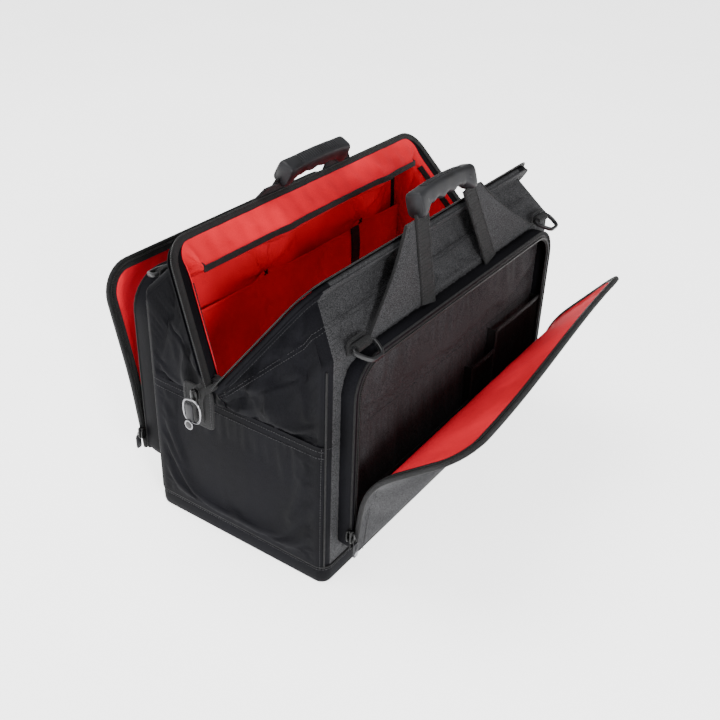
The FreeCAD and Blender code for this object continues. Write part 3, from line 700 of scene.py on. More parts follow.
def soften(rows, sign, outward):
    """Lets the panels belly a little, with a pleat where each end folds under the mouth."""
    count = len(rows[0])
    for r, row in enumerate(rows):
        for i, p in enumerate(row):
            edge = min(i, count - 1 - i)
            mirror = -1 if i < count / 2 else 1
            if edge < END_COLUMNS:
                t = edge / (END_COLUMNS - 1)
                if LOW <= r < LOW + MID + TOP:
                    s = (r - LOW) / (MID + TOP)
                    crease = hump(s)
                    wave = wave_at(1.6 * t + 0.9 * s) + 0.5 * wave_at(3.1 * t - 1.4 * s)
                    p.x += mirror * outward * 4.2 * mm * crease * wave * hump(min(1, t * 1.15))
                    fold = math.exp(-((s - 0.24) / 0.12) ** 2) - 0.5 * math.exp(-((s - 0.5) / 0.1) ** 2)
                    p.x += mirror * outward * 6 * mm * fold * hump(min(1, 0.2 + 0.8 * t))
            elif edge >= LONG_START:
                t = (i - LONG_START) / (count - 1 - 2 * LONG_START)
                if r < LOW + MID:
                    s = r / (LOW + MID)
                    p.y += sign * outward * 2.5 * mm * hump(s) * hump(t)
                    fold = wave_at(5.2 * t + 0.7 * s) + 0.6 * wave_at(11.3 * t - 0.9 * s)
                    p.y += sign * 0.9 * mm * fold * hump(min(1.0, 1.6 * s)) * hump(t)
                elif r < LOW + MID + TOP:
                    s = (r - LOW - MID) / TOP
                    dip = hump(s) * hump(t)
                    ripple = wave_at(4.5 * t) * 0.8 * mm * hump(s)
                    p.z -= 3.5 * mm * dip
                    p.y += sign * (ripple - 1.5 * mm * dip)
    return rows


def hold(rows, extra, top_row, still_end=False):
    """Pin weights: seams, and the rows from top_row up, stay; the panels between are free."""
    count = len(rows[0])
    pins = []
    for r in range(len(rows)):
        for i in range(count):
            edge = min(i, count - 1 - i)
            seam = r < 3 or r >= top_row or edge == 0 or 16 <= edge <= 23 or r in extra
            seam = seam or (still_end and r < LOW and edge < 20)
            pins.append(1.0 if seam else 0.0)
    return pins


def outer_rows(side):
    sign = SIDES[side]
    rows, weights = shell_rows(sign, 0.4 * mm, band_top - 1.5 * mm, *mms(-11.4, -8, 9.5, 9))
    return soften(rows, sign, 1), weights


def make_shell(side):
    """The outer cloth of one long side and half of each end, as far as the mouth frame."""
    rows, weights = outer_rows(side)
    sewn = (LOW + MID, LOW + MID + 6, LOW - 1)
    pins = finer_shares(hold(rows, sewn, LOW + MID + TOP - 1, True), len(rows[0]))
    weights = finer_shares(weights, len(rows[0]))
    rows = finer(rows)
    shell = grid_object(side + "_shell", rows, "smooth")
    count = len(rows[0])
    shell.data.materials.append(MATS["heather"])
    for face in shell.data.polygons:
        column = min(v % count for v in face.vertices)
        if 42 <= column <= count - 44:
            face.material_index = 1
    settle(shell, pins, 0.035, 5 * mm)
    thicken(shell, 1.6 * mm, -1.0)
    follow(shell, "bag", side + "_frame", fit_weights(shell, weights + weights))
    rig.slot(shell, "black_fabric")
    return shell, rows, weights


def fit_weights(obj, weights):
    """The thickened mesh keeps the first side's points, then repeats them for the other."""
    count = len(obj.data.vertices)
    if len(weights) != count:
        raise ValueError("%s has %d points and %d shares" % (obj.name, count, len(weights)))
    return weights


TUFTS = [Vector((-0.059, 0.258)), Vector((0.157, 0.263))]


def tuft(rows, sign):
    """Draws the padded wall in at two sewn spots, with pleats running out from them."""
    for row in rows:
        for p in row:
            if p.y * sign < 60 * mm:
                continue
            for spot in TUFTS:
                d = Vector((p.x, p.z)) - spot
                far, turn = d.length / mm, math.atan2(d.y, d.x)
                pleat = math.cos(7 * turn + 0.8) + 0.6 * math.cos(11 * turn)
                shift = 6.5 * math.exp(-((far - 45) / 30) ** 2) - 3.5 * math.exp(-(far / 9) ** 2)
                shift += 4.4 * pleat * math.exp(-(far / 58) ** 2) * (1 - math.exp(-(far / 12) ** 2))
                p.y -= sign * shift * mm
    return rows


def puff(rows, sign):
    """Small gathers in the band of lining between the mouth and the tape below it."""
    first, count = 2 * (LOW + MID + TOP), len(rows[0])
    inward = opened(0, 1, 0, sign) - opened(0, 0, 0, sign)
    for r in range(first, len(rows)):
        s = (r - first) / (len(rows) - 1 - first)
        for c in range(36, count - 36):
            t = c / count
            wave = wave_at(23 * t + 0.8 * s) * wave_at(7.3 * t - 0.4 * s)
            rows[r][c] += inward * (1.4 + 1.9 * wave) * mm * hump(s)
    return rows


def make_lining(side):
    """The red lining of one long side and half of each end."""
    sign = SIDES[side]
    rows, weights = shell_rows(sign, 9 * mm, floor_top + 0.5 * mm, -1.2 * mm, -33 * mm, 4 * mm, 2 * mm,
                               (-13 * mm, -8.5 * mm, -9 * mm))
    rows = soften(rows, sign, 0.3)
    pins = finer_shares(hold(rows, (), LOW + MID + TOP), len(rows[0]))
    weights = finer_shares(weights, len(rows[0]))
    rows = puff(tuft(finer(rows), sign), sign)
    lining = grid_object(side + "_lining", rows, "red")
    settle(lining, pins, 0.05, 4 * mm)
    thicken(lining, 0.8 * mm, 0.0)
    follow(lining, "bag", side + "_frame", fit_weights(lining, weights + weights))
    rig.slot(lining, "red_lining")
    make_inner_bindings(side, rows, weights)
    return lining, rows


def make_inner_bindings(side, rows, weights):
    """Black tape inside: along the wall below the mouth, and down the two corners."""
    sign, count = SIDES[side], len(rows[0])
    level = 2 * (LOW + MID + TOP)
    lines = [("rail", [(level, c) for c in range(37, count - 37)], 8.5 * mm),
             ("left_leg", [(level, c) for c in range(2, 27)], 8.5 * mm),
             ("right_leg", [(level, c) for c in range(count - 27, count - 2)], 8.5 * mm),
             ("left_corner", [(r, 39) for r in range(2, level)], 6 * mm),
             ("right_corner", [(r, count - 40) for r in range(2, level)], 6 * mm)]
    for name, places, wide in lines:
        path, across, shares = [], [], []
        for r, c in places:
            upwards, onwards = rows[r + 1][c] - rows[r - 1][c], rows[r][c + 1] - rows[r][c - 1]
            normal = upwards.cross(onwards).normalized()
            inward = Vector((-rows[r][c].x, -rows[r][c].y, 0))
            normal = normal if normal.dot(inward) > 0 else -normal
            path.append(rows[r][c] + normal * 1.2 * mm)
            across.append(normal)
            shares.append(weights[r * count + c])
        section = oval(wide, 1.8 * mm, 4, 10)
        tape = sweep("%s_inner_%s" % (side, name), path, section, "webbing", across)
        follow(tape, "bag", side + "_frame", [w for w in shares for _ in section])
        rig.slot(tape, "webbing")


shells = {side: make_shell(side) for side in SIDES}
linings = {side: make_lining(side) for side in SIDES}
for side in SIDES:
    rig.replaces(shells[side][0], side + "_panel", side + "_upper_panel", "left_gusset_" + side,
                "right_gusset_" + side, side + "_mouth_sleeve")
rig.replaces(linings["front"][0], "body_lining")


def make_end(name, mirror):
    """An end panel: one cloth over both halves of the shell, from the base to the shoulder."""
    foot = [Vector((mirror * -p.x, p.y)) for p in footprint(-0.9 * mm)[:19]]
    line = [Vector((p.x, -p.y)) for p in reversed(foot)] + foot[1:]
    tall, wide = 30, len(line)
    top = shoulder - 1 * mm
    rows, pins = [], []
    for r in range(tall + 1):
        t = r / tall
        row = []
        for c, p in enumerate(line):
            edge = min(abs(p.y) / half_y, 1.0)
            belly = 5.4 * mm * hump(t) * math.cos(edge * math.pi / 2) - 0.4 * mm * t
            row.append(Vector((p.x + mirror * belly, p.y, band_top + (top - band_top) * t)))
            pins.append(1.0 if r < 2 or r > tall - 3 or c < 4 or c > wide - 5 else 0.0)
        rows.append(row)
    pins, rows = finer_shares(pins, wide), finer(rows)
    panel = grid_object(name + "_end_cloth", rows, "smooth")
    settle(panel, pins, 0.02, 3.5 * mm)
    thicken(panel, 1.2 * mm, 0.0)
    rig.replaces(panel, name + "_end_panel")
    spots = []
    for line in ([row[2] for row in rows], [row[-3] for row in rows], rows[-3], rows[-6]):
        for place, along in evenly(line, 3.6 * mm):
            turned = place.y / half_y if abs(place.y) >= half_y - 12 * mm else 0
            up = Vector((mirror, turned, 0)).normalized()
            spots.append((place + up * 0.8 * mm, along, up))
    thread = beads(name + "_end_stitches", spots, mms(2.6, 0.7, 0.6), "thread")
    for piece, slot in ((panel, "black_fabric"), (thread, "webbing")):
        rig.ride(piece, "bag")
        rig.slot(piece, slot)


make_end("left", -1)
make_end("right", 1)


# ------------------------------------------------------------------ mouth frames
def soft_seam(rows, weights, r, lift, gap=0.0):
    """A row of stitches along one row of the shell, bending as the shell does."""
    count, path = len(rows[0]), rows[r]
    spots, shares = [], []
    for i, t in paces(path, 3.6 * mm):
        a, b = path[i], path[i + 1]
        up = (rows[r + 1][i] - rows[r - 1][i]).cross(b - a).normalized()
        if up.dot(Vector((a.x * 0.4, a.y, 0.02))) < 0:
            up = -up
        slope = (rows[r + 1][i] - a).normalized() * gap
        spots.append((a.lerp(b, t) + up * lift + slope, b - a, up))
        shares.append(weights[r * count + i] * (1 - t) + weights[r * count + i + 1] * t)
    return spots, shares


def make_seams(side):
    """Stitches on the shell: under the mouth, at the fold and at the shoulder."""
    rows, weights = outer_rows(side)
    spots, shares = [], []
    for r, gap in ((LOW + MID + 6, 0.0), (LOW + MID + 6, 5 * mm), (LOW - 1, 3 * mm),
                   (LOW + MID + TOP + 1, 0.0)):
        found = soft_seam(rows, weights, r, 0.25 * mm, gap)
        spots += found[0]
        shares += found[1]
    seam = beads(side + "_shell_stitches", spots, mms(2.6, 0.7, 0.6), "thread")
    follow(seam, "bag", side + "_frame", [w for w in shares for _ in range(16)])
    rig.slot(seam, "webbing")


def make_mouth(side):
    """The padded band round one mouth bar, with half of the zipper on it."""
    sign = SIDES[side]
    band = sweep(side + "_mouth_band", u_path(sign, 0, -6.4 * mm), oval(*mms(9, 18), 3.5, 20), "smooth",
                 across=[opened(o.x, 0, o.y, sign) - opened(0, 0, 0, sign) for _, o in RIM])
    band.data.materials.append(MATS["heather"])
    for face in band.data.polygons:
        face.material_index = 1 if abs(face.center.x) < MOUTH_HALF - BEND else 0
    tape = sweep(side + "_zip_tape", u_path(sign, 7.5 * mm, -1.2 * mm), oval(*mms(1.0, 9), 4, 8), "zip",
                 across=[opened(o.x, 0, o.y, sign) - opened(0, 0, 0, sign) for _, o in RIM])
    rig.replaces(tape, side + "_mouth_tape")
    path = u_path(sign, 11.5 * mm, -1.5 * mm)
    across = opened(0, 1, 0, sign) - opened(0, 0, 0, sign)
    teeth = [(place, along.cross(across), across) for place, along in evenly(path, TOOTH_STEP)]
    coil = beads(side + "_zip_teeth", teeth, mms(2.6, 1.3, 1.9), "teeth")
    wear((band, tape, coil), side + "_frame", "webbing")
    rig.slot(band, "black_fabric")


# ------------------------------------------------------------------ base
def ring_outline(inset, z, steps=8):
    """The whole footprint at one height, anticlockwise."""
    points = []
    for quarter, (sx, sy) in enumerate(((1, -1), (1, 1), (-1, 1), (-1, -1))):
        centre = Vector((sx * (half_x - CORNER), sy * (half_y - CORNER), z))
        for i in range(steps + 1):
            a = math.radians(-90 + 90 * quarter + 90 * i / steps)
            points.append(centre + Vector((math.cos(a), math.sin(a), 0)) * (CORNER - inset))
    full = []
    for a, b in zip(points, points[1:] + points[:1]):
        cuts = max(1, int((b - a).length / (12 * mm)))
        full += [a.lerp(b, i / cuts) for i in range(cuts)]
    return full


def make_base():
    """The band round the base, its piping, and the corner pipings."""
    profile = [(2.2, 26.5), (0.5, 26.2), (-0.3, 22), (-0.9, 14), (-0.6, 7), (0.3, 3.2), (1.6, 1.2),
               (4, 0.3), (9, 0.0)]
    rows = [ring_outline(inset * mm, z * mm) for inset, z in profile]
    skirt = grid_object("base_skirt", rows, "smooth", closed=True)
    count = len(rows[0])
    close_skin(skirt, range((len(rows) - 1) * count, len(rows) * count))
    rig.replaces(skirt, "base_band", "base_panel")
    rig.slot(skirt, "black_fabric")
    path = ring_outline(-0.6 * mm, band_top + 1.2 * mm)
    middle = Vector((0, 0, path[0].z))
    piping = sweep("base_piping", path, oval(*mms(2.6, 2.6), 2, 8), "webbing",
                   across=[(p - middle).normalized() for p in path], closed=True)
    stitches = beads("base_stitches", [(p + Vector((0, 0, -4 * mm)), along, (p - middle).normalized())
                                       for p, along in evenly(path + path[:1], THREAD_STEP)],
                     mms(2.7, 0.7, 0.6), "thread")
    for piece in (skirt, piping, stitches):
        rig.ride(piece, "bag")
    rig.slot(piping, "webbing")
    for sx in (-1, 1):
        for sy in (-1, 1):
            x, y = sx * (half_x - 3.6 * mm), sy * (half_y - 3.6 * mm)
            path = [Vector((x, y, band_top + (knee - 12 * mm - band_top) * i / 12)) for i in range(13)]
            piece = sweep("corner_piping_%d%d" % (sx + 1, sy + 1), path, oval(*mms(2.4, 2.4), 2, 8),
                          "webbing", across=Vector((sx, sy, 0)).normalized())
            wear((piece,), "bag", "webbing")


# ------------------------------------------------------------------ side pockets
def rounded_loop(half, low, high, top_round, low_round, y, steps=7):
    """A closed outline in an upright plane, from the lower left, with its outward directions."""
    spots = []
    corners = ((-1, low, low_round, 180, 270), (1, low, low_round, 270, 360),
               (1, high, top_round, 0, 90), (-1, high, top_round, 90, 180))
    for sx, z, radius, a0, a1 in corners:
        centre = Vector((sx * (half - radius), y, z + radius if z == low else z - radius))
        for i in range(steps + 1):
            a = math.radians(a0 + (a1 - a0) * i / steps)
            out = Vector((math.cos(a), 0, math.sin(a)))
            spots.append((centre + out * radius, out))
    full = []
    for (a, p), (b, q) in zip(spots, spots[1:] + spots[:1]):
        cuts = max(1, int((b - a).length / (14 * mm)))
        full += [(a.lerp(b, i / cuts), p.lerp(q, i / cuts).normalized()) for i in range(cuts)]
    return [p for p, _ in full], [o for _, o in full]


pocket_low = joints["front_flap_swing"]["pos_m"][2]
pocket_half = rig.box("front_pocket_zip")[1].x
pocket_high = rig.box("front_pocket_zip")[1].z
ROUND = 45 * mm


def pocket_loop(inset, lift, cut, low_round, y):
    """The pocket's outline drawn in by inset and its foot raised by lift, in mm but for y."""
    inset, lift, cut, low_round = mms(inset, lift, cut, low_round)
    return rounded_loop(pocket_half - inset, pocket_low + lift, pocket_high - inset,
                        ROUND - cut, low_round, y)


def make_pocket(side):
    """A side pocket's padded rim, and on it the zipper's tape and teeth and the piping."""
    sign = SIDES[side]
    near, far = half_y, abs(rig.box(side + "_pocket_zip")[0 if sign < 0 else 1].y)
    deep = far - near - 0.5 * mm
    section, swell = [], 3.0 if side == "rear" else 1.2
    steps = 9
    for i in range(steps):
        t = i / (steps - 1)
        section.append((sign * (t - 0.5) * deep, (1.5 + swell * hump(t)) * mm))
    section += [(a, b - 3 * mm) for a, b in reversed(section)]
    path, across = pocket_loop(2.5, -2, 2, 12, sign * (near + deep / 2))
    wall = sweep(side + "_pocket_gusset", path, section, "smooth", across=across, closed=True)
    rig.replaces(wall, side + "_pocket_wall")
    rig.slot(wall, "black_fabric")
    y = sign * (far - 2.0 * mm)
    path, across = pocket_loop(6, 3, 6, 8, y)
    tape = sweep(side + "_pocket_tape", path, oval(*mms(1.5, 13), 4, 10), "zip", across, True)
    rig.replaces(tape, side + "_pocket_zip")
    edge, across = pocket_loop(1.2, 0, 1, 5, y)
    piping = sweep(side + "_pocket_piping", edge, oval(*mms(3, 3), 2, 8), "webbing", across, True)
    up = Vector((0, sign, 0))
    line, _ = pocket_loop(9, 2, 8, 6, sign * (far - 0.7 * mm))
    teeth = [(p, along.cross(up), up) for p, along in evenly(line, TOOTH_STEP)
             if p.z > pocket_low + 6 * mm]
    coil = beads(side + "_pocket_teeth", teeth, mms(2.6, 1.3, 1.7), "teeth")
    for piece in (wall, tape, piping, coil):
        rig.ride(piece, "bag")
        if piece is not wall:
            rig.slot(piece, "webbing")


def flap_half(s):
    """Half width of a flap at distance s from its hinge."""
    rest = s - (FLAP_LONG - ROUND)
    if rest <= 0:
        return pocket_half
    return pocket_half - ROUND + math.sqrt(max(0.0, ROUND ** 2 - rest ** 2))


class Flap:
    """A flap's shape at rest: up from its hinge, then bending out about its fold, less at one end."""

    def __init__(self, side):
        self.sign = SIDES[side]
        swing, fold = joints[side + "_flap_swing"], joints[side + "_flap_fold"]
        self.low = -math.radians(swing["range_deg"][0])
        self.bend = -math.radians(fold["range_deg"][0])
        self.face = abs(swing["pos_m"][1])
        self.twist = 0.26 if side == "front" else 0.0
        self.spread = 52 * mm if side == "front" else 42 * mm
        self.step = 2 * mm
        self.lines = {}

    def strength(self, x):
        """How much of the full bend there is at x."""
        return 1 - self.twist * ease((x / pocket_half + 1) / 2)

    def share(self, s, x=0.0):
        """The upper half's share at x and s along the flap."""
        return ease((s - FLAP_FOLD + self.spread) / (2 * self.spread)) * self.strength(x)

    def angle(self, s, x=0.0):
        """The lean from upright at x and s."""
        return self.low + self.bend * self.share(s, x)

    def line(self, x):
        """The inner face's profile in the plane of that x, one point every step."""
        key = round(x / mm / 4)
        if key not in self.lines:
            points = [Vector((0, 0))]
            for i in range(130):
                angle = self.angle((i + 0.5) * self.step, key * 4 * mm)
                points.append(points[-1] + Vector((math.sin(angle), math.cos(angle))) * self.step)
            self.lines[key] = points
        return self.lines[key]

    def at(self, x, s, out):
        """The point at x, s along the flap and `out` from its inner face."""
        line = self.line(x)
        place = min(len(line) - 1.001, max(0.0, s / self.step))
        i = int(place)
        spot = line[i].lerp(line[i + 1], place - i)
        angle = self.angle(s, x)
        spot = spot + Vector((math.cos(angle), -math.sin(angle))) * out
        return Vector((x, self.sign * (self.face + spot.x), pocket_low + spot.y))

    def along(self, s, x=0.0):
        """The direction up the flap at x and s."""
        angle = self.angle(s, x)
        return Vector((0, self.sign * math.sin(angle), math.cos(angle)))


def flap_sheet(name, shape, inset, thickness, material, side, puff, stretch, base):
    """One cloth face of a flap: a grid within the outline, bellied by `puff`."""
    rows, shares, pins = [], [], []
    wide, tall = 60, 36
    for r in range(tall + 1):
        t = r / tall
        s = inset * 0.3 + (FLAP_LONG - inset * 1.3) * t
        half = flap_half(min(FLAP_LONG, s + inset * 0.35)) - inset
        row = []
        for c in range(wide + 1):
            u = c / wide
            x = -half + 2 * half * u
            belly = puff * (hump(t) ** 0.5) * (hump(u) ** 0.35 if 0 < u < 1 else 0)
            fold = wave_at(6.3 * u + 1.1 * t) + 0.7 * wave_at(9.7 * u - 1.7 * t)
            belly += 0.22 * abs(puff) * fold * hump(t) * hump(u)
            row.append(shape.at(x, s, base + belly))
            shares.append(shape.share(s, x))
            pins.append(1.0 if r in (0, tall) or c in (0, wide) else 0.0)
        rows.append(row)
    sheet = grid_object(name, rows, material)
    settle(sheet, pins, stretch, 3.5 * mm)
    thicken(sheet, thickness, 0.0)
    follow(sheet, side + "_flap_lower", side + "_flap_upper", fit_weights(sheet, shares + shares))
    return sheet


def flap_outline(shape, inset, out):
    """Points round a flap's free edges from the lower left, with outward directions and shares."""
    spots = []
    straight = FLAP_LONG - ROUND
    steps = int(straight / (5 * mm))
    for i in range(steps + 1):
        spots.append((-pocket_half, straight * i / steps, -1.0, 0.0))
    for i in range(1, 9):
        a = math.radians(180 - 90 * i / 9)
        spots.append((-pocket_half + ROUND + ROUND * math.cos(a), straight + ROUND * math.sin(a),
                      math.cos(a), math.sin(a)))
    top = pocket_half - ROUND
    for i in range(int(2 * top / (8 * mm)) + 1):
        spots.append((-top + i * 8 * mm, FLAP_LONG, 0.0, 1.0))
    spots += [(-x, s, -ox, os) for x, s, ox, os in reversed(spots[:steps + 9])]
    path, across, shares = [], [], []
    for x, s, ox, os in spots:
        x, s = x - ox * inset, s - os * inset
        path.append(shape.at(x, s, out))
        across.append(Vector((ox, 0, 0)) + shape.along(s, x) * os)
        shares.append(shape.share(s, x))
    return path, across, shares


def make_flap_seam(side, shape):
    """The strip of cloth that joins a flap's lower edge to the pocket's rim."""
    rows, shares = [], []
    for k in range(6):
        t = k / 5
        row = []
        for c in range(61):
            x = (pocket_half - 7 * mm) * (c / 30 - 1)
            rim = Vector((x, shape.sign * (shape.face - 4 * mm), pocket_low - 0.6 * mm))
            row.append(rim.lerp(shape.at(x, 3 * mm, 4 * mm), t) - Z * 1.2 * mm * hump(t))
            shares.append(t)
        rows.append(row)
    strip = face_up(thicken(grid_object(side + "_flap_seam", rows, "webbing"), 1.2 * mm, 0.0))
    follow(strip, "bag", side + "_flap_lower", fit_weights(strip, shares + shares))
    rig.slot(strip, "webbing")


def make_flap(side):
    """A pocket's flap: seam, both cloth faces, binding, and its half of the zipper."""
    shape = Flap(side)
    make_flap_seam(side, shape)
    lower, upper = side + "_flap_lower", side + "_flap_upper"
    outer = flap_sheet(side + "_flap_outer", shape, 2 * mm, 1.4 * mm, "heather", side, 2.6 * mm,
                       0.012, 4.6 * mm)
    lining = flap_sheet(side + "_flap_lining", shape, 12 * mm, 0.8 * mm, "red", side, -0.9 * mm,
                        0.02, 2.2 * mm)
    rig.replaces(outer, lower + "_panel", upper + "_panel")
    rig.replaces(lining, lower + "_lining", upper + "_lining")
    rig.slot(outer, "black_fabric")
    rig.slot(lining, "red_lining")
    for name, inset, out, section, material in (
            ("binding", 1.6 * mm, 3.3 * mm, oval(*mms(6.2, 4.2), 2.6, 10), "webbing"),
            ("tape", 7.5 * mm, 1.6 * mm, oval(*mms(1.3, 12), 4, 8), "zip")):
        path, across, shares = flap_outline(shape, inset, out)
        strip = sweep("%s_flap_%s" % (side, name), path, section, material, across)
        follow(strip, lower, upper, [w for w in shares for _ in section])
        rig.slot(strip, "webbing")
    for name, inset, out, size, material, pitch in (
            ("teeth", 5 * mm, 0.7 * mm, (2.6, 1.3, 1.7), "teeth", TOOTH_STEP),
            ("stitches", 13 * mm, 7.5 * mm, (2.7, 0.7, 0.6), "thread", THREAD_STEP)):
        path, across, shares = flap_outline(shape, inset, out)
        spots, weights = [], []
        for i, t in paces(path, pitch):
            along = path[i + 1] - path[i]
            lengthways = across[i] if name == "teeth" else along
            spots.append((path[i].lerp(path[i + 1], t), lengthways, along.cross(across[i])))
            weights.append(shares[i] * (1 - t) + shares[i + 1] * t)
        row = beads("%s_flap_%s" % (side, name), spots, [v * mm for v in size], material)
        follow(row, lower, upper, [w for w in weights for _ in range(16)])
        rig.slot(row, "webbing")
    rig.padded(outer, fill=0.4)


# ------------------------------------------------------------------ handles
HANDLE_LEAN = {"front": math.radians(17), "rear": math.radians(28)}


def handle_point(side, x, out, height):
    """A point of a handle: height above its seam, out from the straps' middle plane."""
    sign, lean = SIDES[side], HANDLE_LEAN[side]
    _, y0, z0 = joints[side + "_handle_swing"]["pos_m"]
    away = out * math.cos(lean) - height * math.sin(lean)
    up = out * math.sin(lean) + height * math.cos(lean)
    return Vector((x, y0 + sign * away, z0 + up))


def wing_edges(t):
    """Inner and outer distance of a strap's wing from the middle, foot to top."""
    inner = (60 - 18 * t) * mm
    outer = (196 - 111 * t - 9 * hump(t)) * mm
    return inner, outer


def make_strap(side, mirror):
    """One end of a handle: the webbing and its triangular cloth wing."""
    def on_wing(u, t):
        inner, outer = wing_edges(t)
        wave = 0.9 * mm * (1 + wave_at(1.3 * u + 0.5 * t)) * hump(t)
        wave += 0.4 * mm * (1 + wave_at(3.1 * u - 1.2 * t)) * hump(u) * (1 - t)
        return handle_point(side, mirror * (inner + (outer - inner) * u), wave, (3 + 92 * t) * mm)

    rows = sheet_rows(22, 16, on_wing)
    name = "%s_handle_%s" % (side, "left" if mirror < 0 else "right")
    wing = face_up(thicken(grid_object(name + "_wing", rows, "heather"), 2.0 * mm, 0.0))
    out = handle_point(side, 0, 1, 0) - handle_point(side, 0, 0, 0)
    levels = [r / 24 for r in range(25)]
    path = [handle_point(side, mirror * (wing_edges(t)[0] + 14.5 * mm - 3 * mm * t), 2.0 * mm,
                         (-2 + 100 * t) * mm) for t in levels]
    web = sweep(name + "_webbing", path, oval(*mms(29, 2.4), 6, 16), "webbing", out)
    rim = [handle_point(side, mirror * wing_edges(t)[1], 0, (3 + 91 * t) * mm) for t in levels]
    edge = sweep(name + "_edge", rim, oval(*mms(2.6, 4), 2.4, 8), "webbing", out)
    lines = [[p + X * mirror * aside * mm + out * 1.35 * mm for p in path[2:]]
             for aside in (-11.5, 11.5)]
    lines.append([handle_point(side, mirror * (wing_edges(t)[1] - 5 * mm), 1.3 * mm,
                               (5 + 84 * t) * mm) for t in levels])
    spots = [(p, along, out) for line in lines for p, along in evenly(line, THREAD_STEP)]
    thread = beads(name + "_stitches", spots, mms(2.7, 0.7, 0.7), "thread")
    return [wing, web, edge, thread]


def make_grip(side):
    """The moulded hand grip, scalloped below and ribbed on top."""
    rings, steps = [], 88
    half = 62 * mm
    for i in range(steps + 1):
        x = -half + 2 * half * i / steps
        edge = half - abs(x)
        body = ease((edge - 5 * mm) / (20 * mm))
        scallop = 1.7 * mm * math.cos(2 * math.pi * x / (24 * mm)) * ease((edge - 22 * mm) / (8 * mm))
        crown = 3.5 * mm * (1 - math.cos(math.pi * x / (2 * half)))
        top, low = 128 * mm - crown, (94.5 + 11 * body) * mm + scallop
        taper = 0.9 + 0.1 * ease(edge / (2.5 * mm))
        thick = (20.5 + 3 * (1 - body)) * mm * taper
        middle, tall = (top + low) / 2, (top - low) * taper
        rings.append([handle_point(side, x, a, middle + b) for a, b in oval(thick, tall, 4.2, 36)])
    grip = loft(side + "_hand_grip", rings, "grip")
    out = handle_point(side, 0, 1, 0) - handle_point(side, 0, 0, 0)
    up = handle_point(side, 0, 0, 1) - handle_point(side, 0, 0, 0)
    rivets = []
    for x in (-50, 50):
        for face in (-1, 1):
            place = handle_point(side, x * mm, face * 10.4 * mm, 112 * mm)
            rivets.append(puck("%s_grip_stud_%d_%d" % (side, x, face), place, X, up, *mms(7, 7, 1.6),
                               "plastic", 2))
    ribs = []
    for i in range(-9, 10):
        drop = 3.5 * mm * (1 - math.cos(i * 4.2 / 62 * math.pi / 2))
        ribs.append((handle_point(side, i * 4.2 * mm, 0, 128.1 * mm - drop), out, up))
    ridge = beads(side + "_grip_ribs", ribs, mms(11, 1.4, 1.0), "grip")
    return [grip, ridge] + rivets


def make_handle(side):
    """One handle: two straps with their wings, and the grip."""
    pieces = make_strap(side, -1) + make_strap(side, 1)
    grip = make_grip(side)
    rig.replaces(pieces[0], side + "_handle_straps")
    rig.replaces(grip[0], side + "_grip")
    for piece in pieces + grip:
        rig.ride(piece, side + "_handle")
        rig.slot(piece, "grip_rubber" if piece in grip else "webbing")


# ------------------------------------------------------------------ small hard parts
def puck(name, place, u, v, wide, long, thick, material, power=4.0, bevel=0.35, steps=28):
    """A plate with rounded outline and edges, in the plane of u and v, centred on place."""
    n = u.cross(v).normalized()
    soft = min(bevel * thick, 0.2 * min(wide, long))
    rows = []
    for lift, shrink in ((-0.5, soft), (-0.5 + bevel * 0.3, soft * 0.3), (-0.5 + bevel, 0),
                         (0.5 - bevel, 0), (0.5 - bevel * 0.3, soft * 0.3), (0.5, soft)):
        ring = oval(wide - 2 * shrink, long - 2 * shrink, power, steps)
        rows.append([place + u * a + v * b + n * (lift * thick) for a, b in ring])
    return loft(name, rows, material)


def smooth_loop(points, rounds=2):
    """Cuts the corners of a closed polygon a few times, which leaves a round-cornered loop."""
    for _ in range(rounds):
        cut = []
        for a, b in zip(points, points[1:] + points[:1]):
            cut += [a.lerp(b, 0.25), a.lerp(b, 0.75)]
        points = cut
    return points


PATCH_Z = 310.5 * mm


def make_d_ring(side, end):
    """A D-ring, the webbing loop that holds it and the patch it is sewn on."""
    name = "%s_%s_d_ring" % (side, end)
    hinge = Vector(joints[name + "_swing"]["pos_m"])
    sign = SIDES[side]
    tilt = math.radians(20)
    away = Vector((0, sign * math.cos(tilt), -math.sin(tilt)))
    outline = [(-17, 0), (0, 0), (17, 0), (17, 8), (9.5, 22.8), (0, 22.8), (-9.5, 22.8), (-17, 8)]
    loop = smooth_loop([hinge + X * a * mm + away * b * mm for a, b in outline], 3)
    normal = X.cross(away).normalized()
    ring = sweep(name + "_loop", loop, oval(*mms(4.2, 5.2), 3.2, 14), "plastic", normal, True)
    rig.replaces(ring, name)
    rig.ride(ring, name)
    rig.slot(ring, "black_plastic")
    path = [hinge + X * (-12.5 + 25 * i / 8) * mm for i in range(9)]
    wrap = sweep(name + "_wrap", path, oval(*mms(10.5, 10), 2.6, 18), "webbing", Z)
    patch = puck(name + "_patch", Vector((hinge.x, sign * (half_y + 1.4 * mm), PATCH_Z)), X, Z,
                 *mms(34, 20, 2.2), "webbing", 5)
    spots = []
    for z in (-7, 7):
        line = [patch_corner(hinge, sign, a, z) for a in (-14, 14)]
        spots += [(p, along, Y * sign) for p, along in evenly(line, 3.2 * mm)]
    thread = beads(name + "_stitches", spots, mms(2.3, 0.7, 0.7), "thread")
    wear((wrap, patch, thread), "bag", "webbing")
    return patch


def patch_corner(hinge, sign, x, z):
    """A point on the outer face of a D-ring's patch, from the patch's middle."""
    return Vector((hinge.x + x * mm, sign * (half_y + 2.7 * mm), PATCH_Z + z * mm))


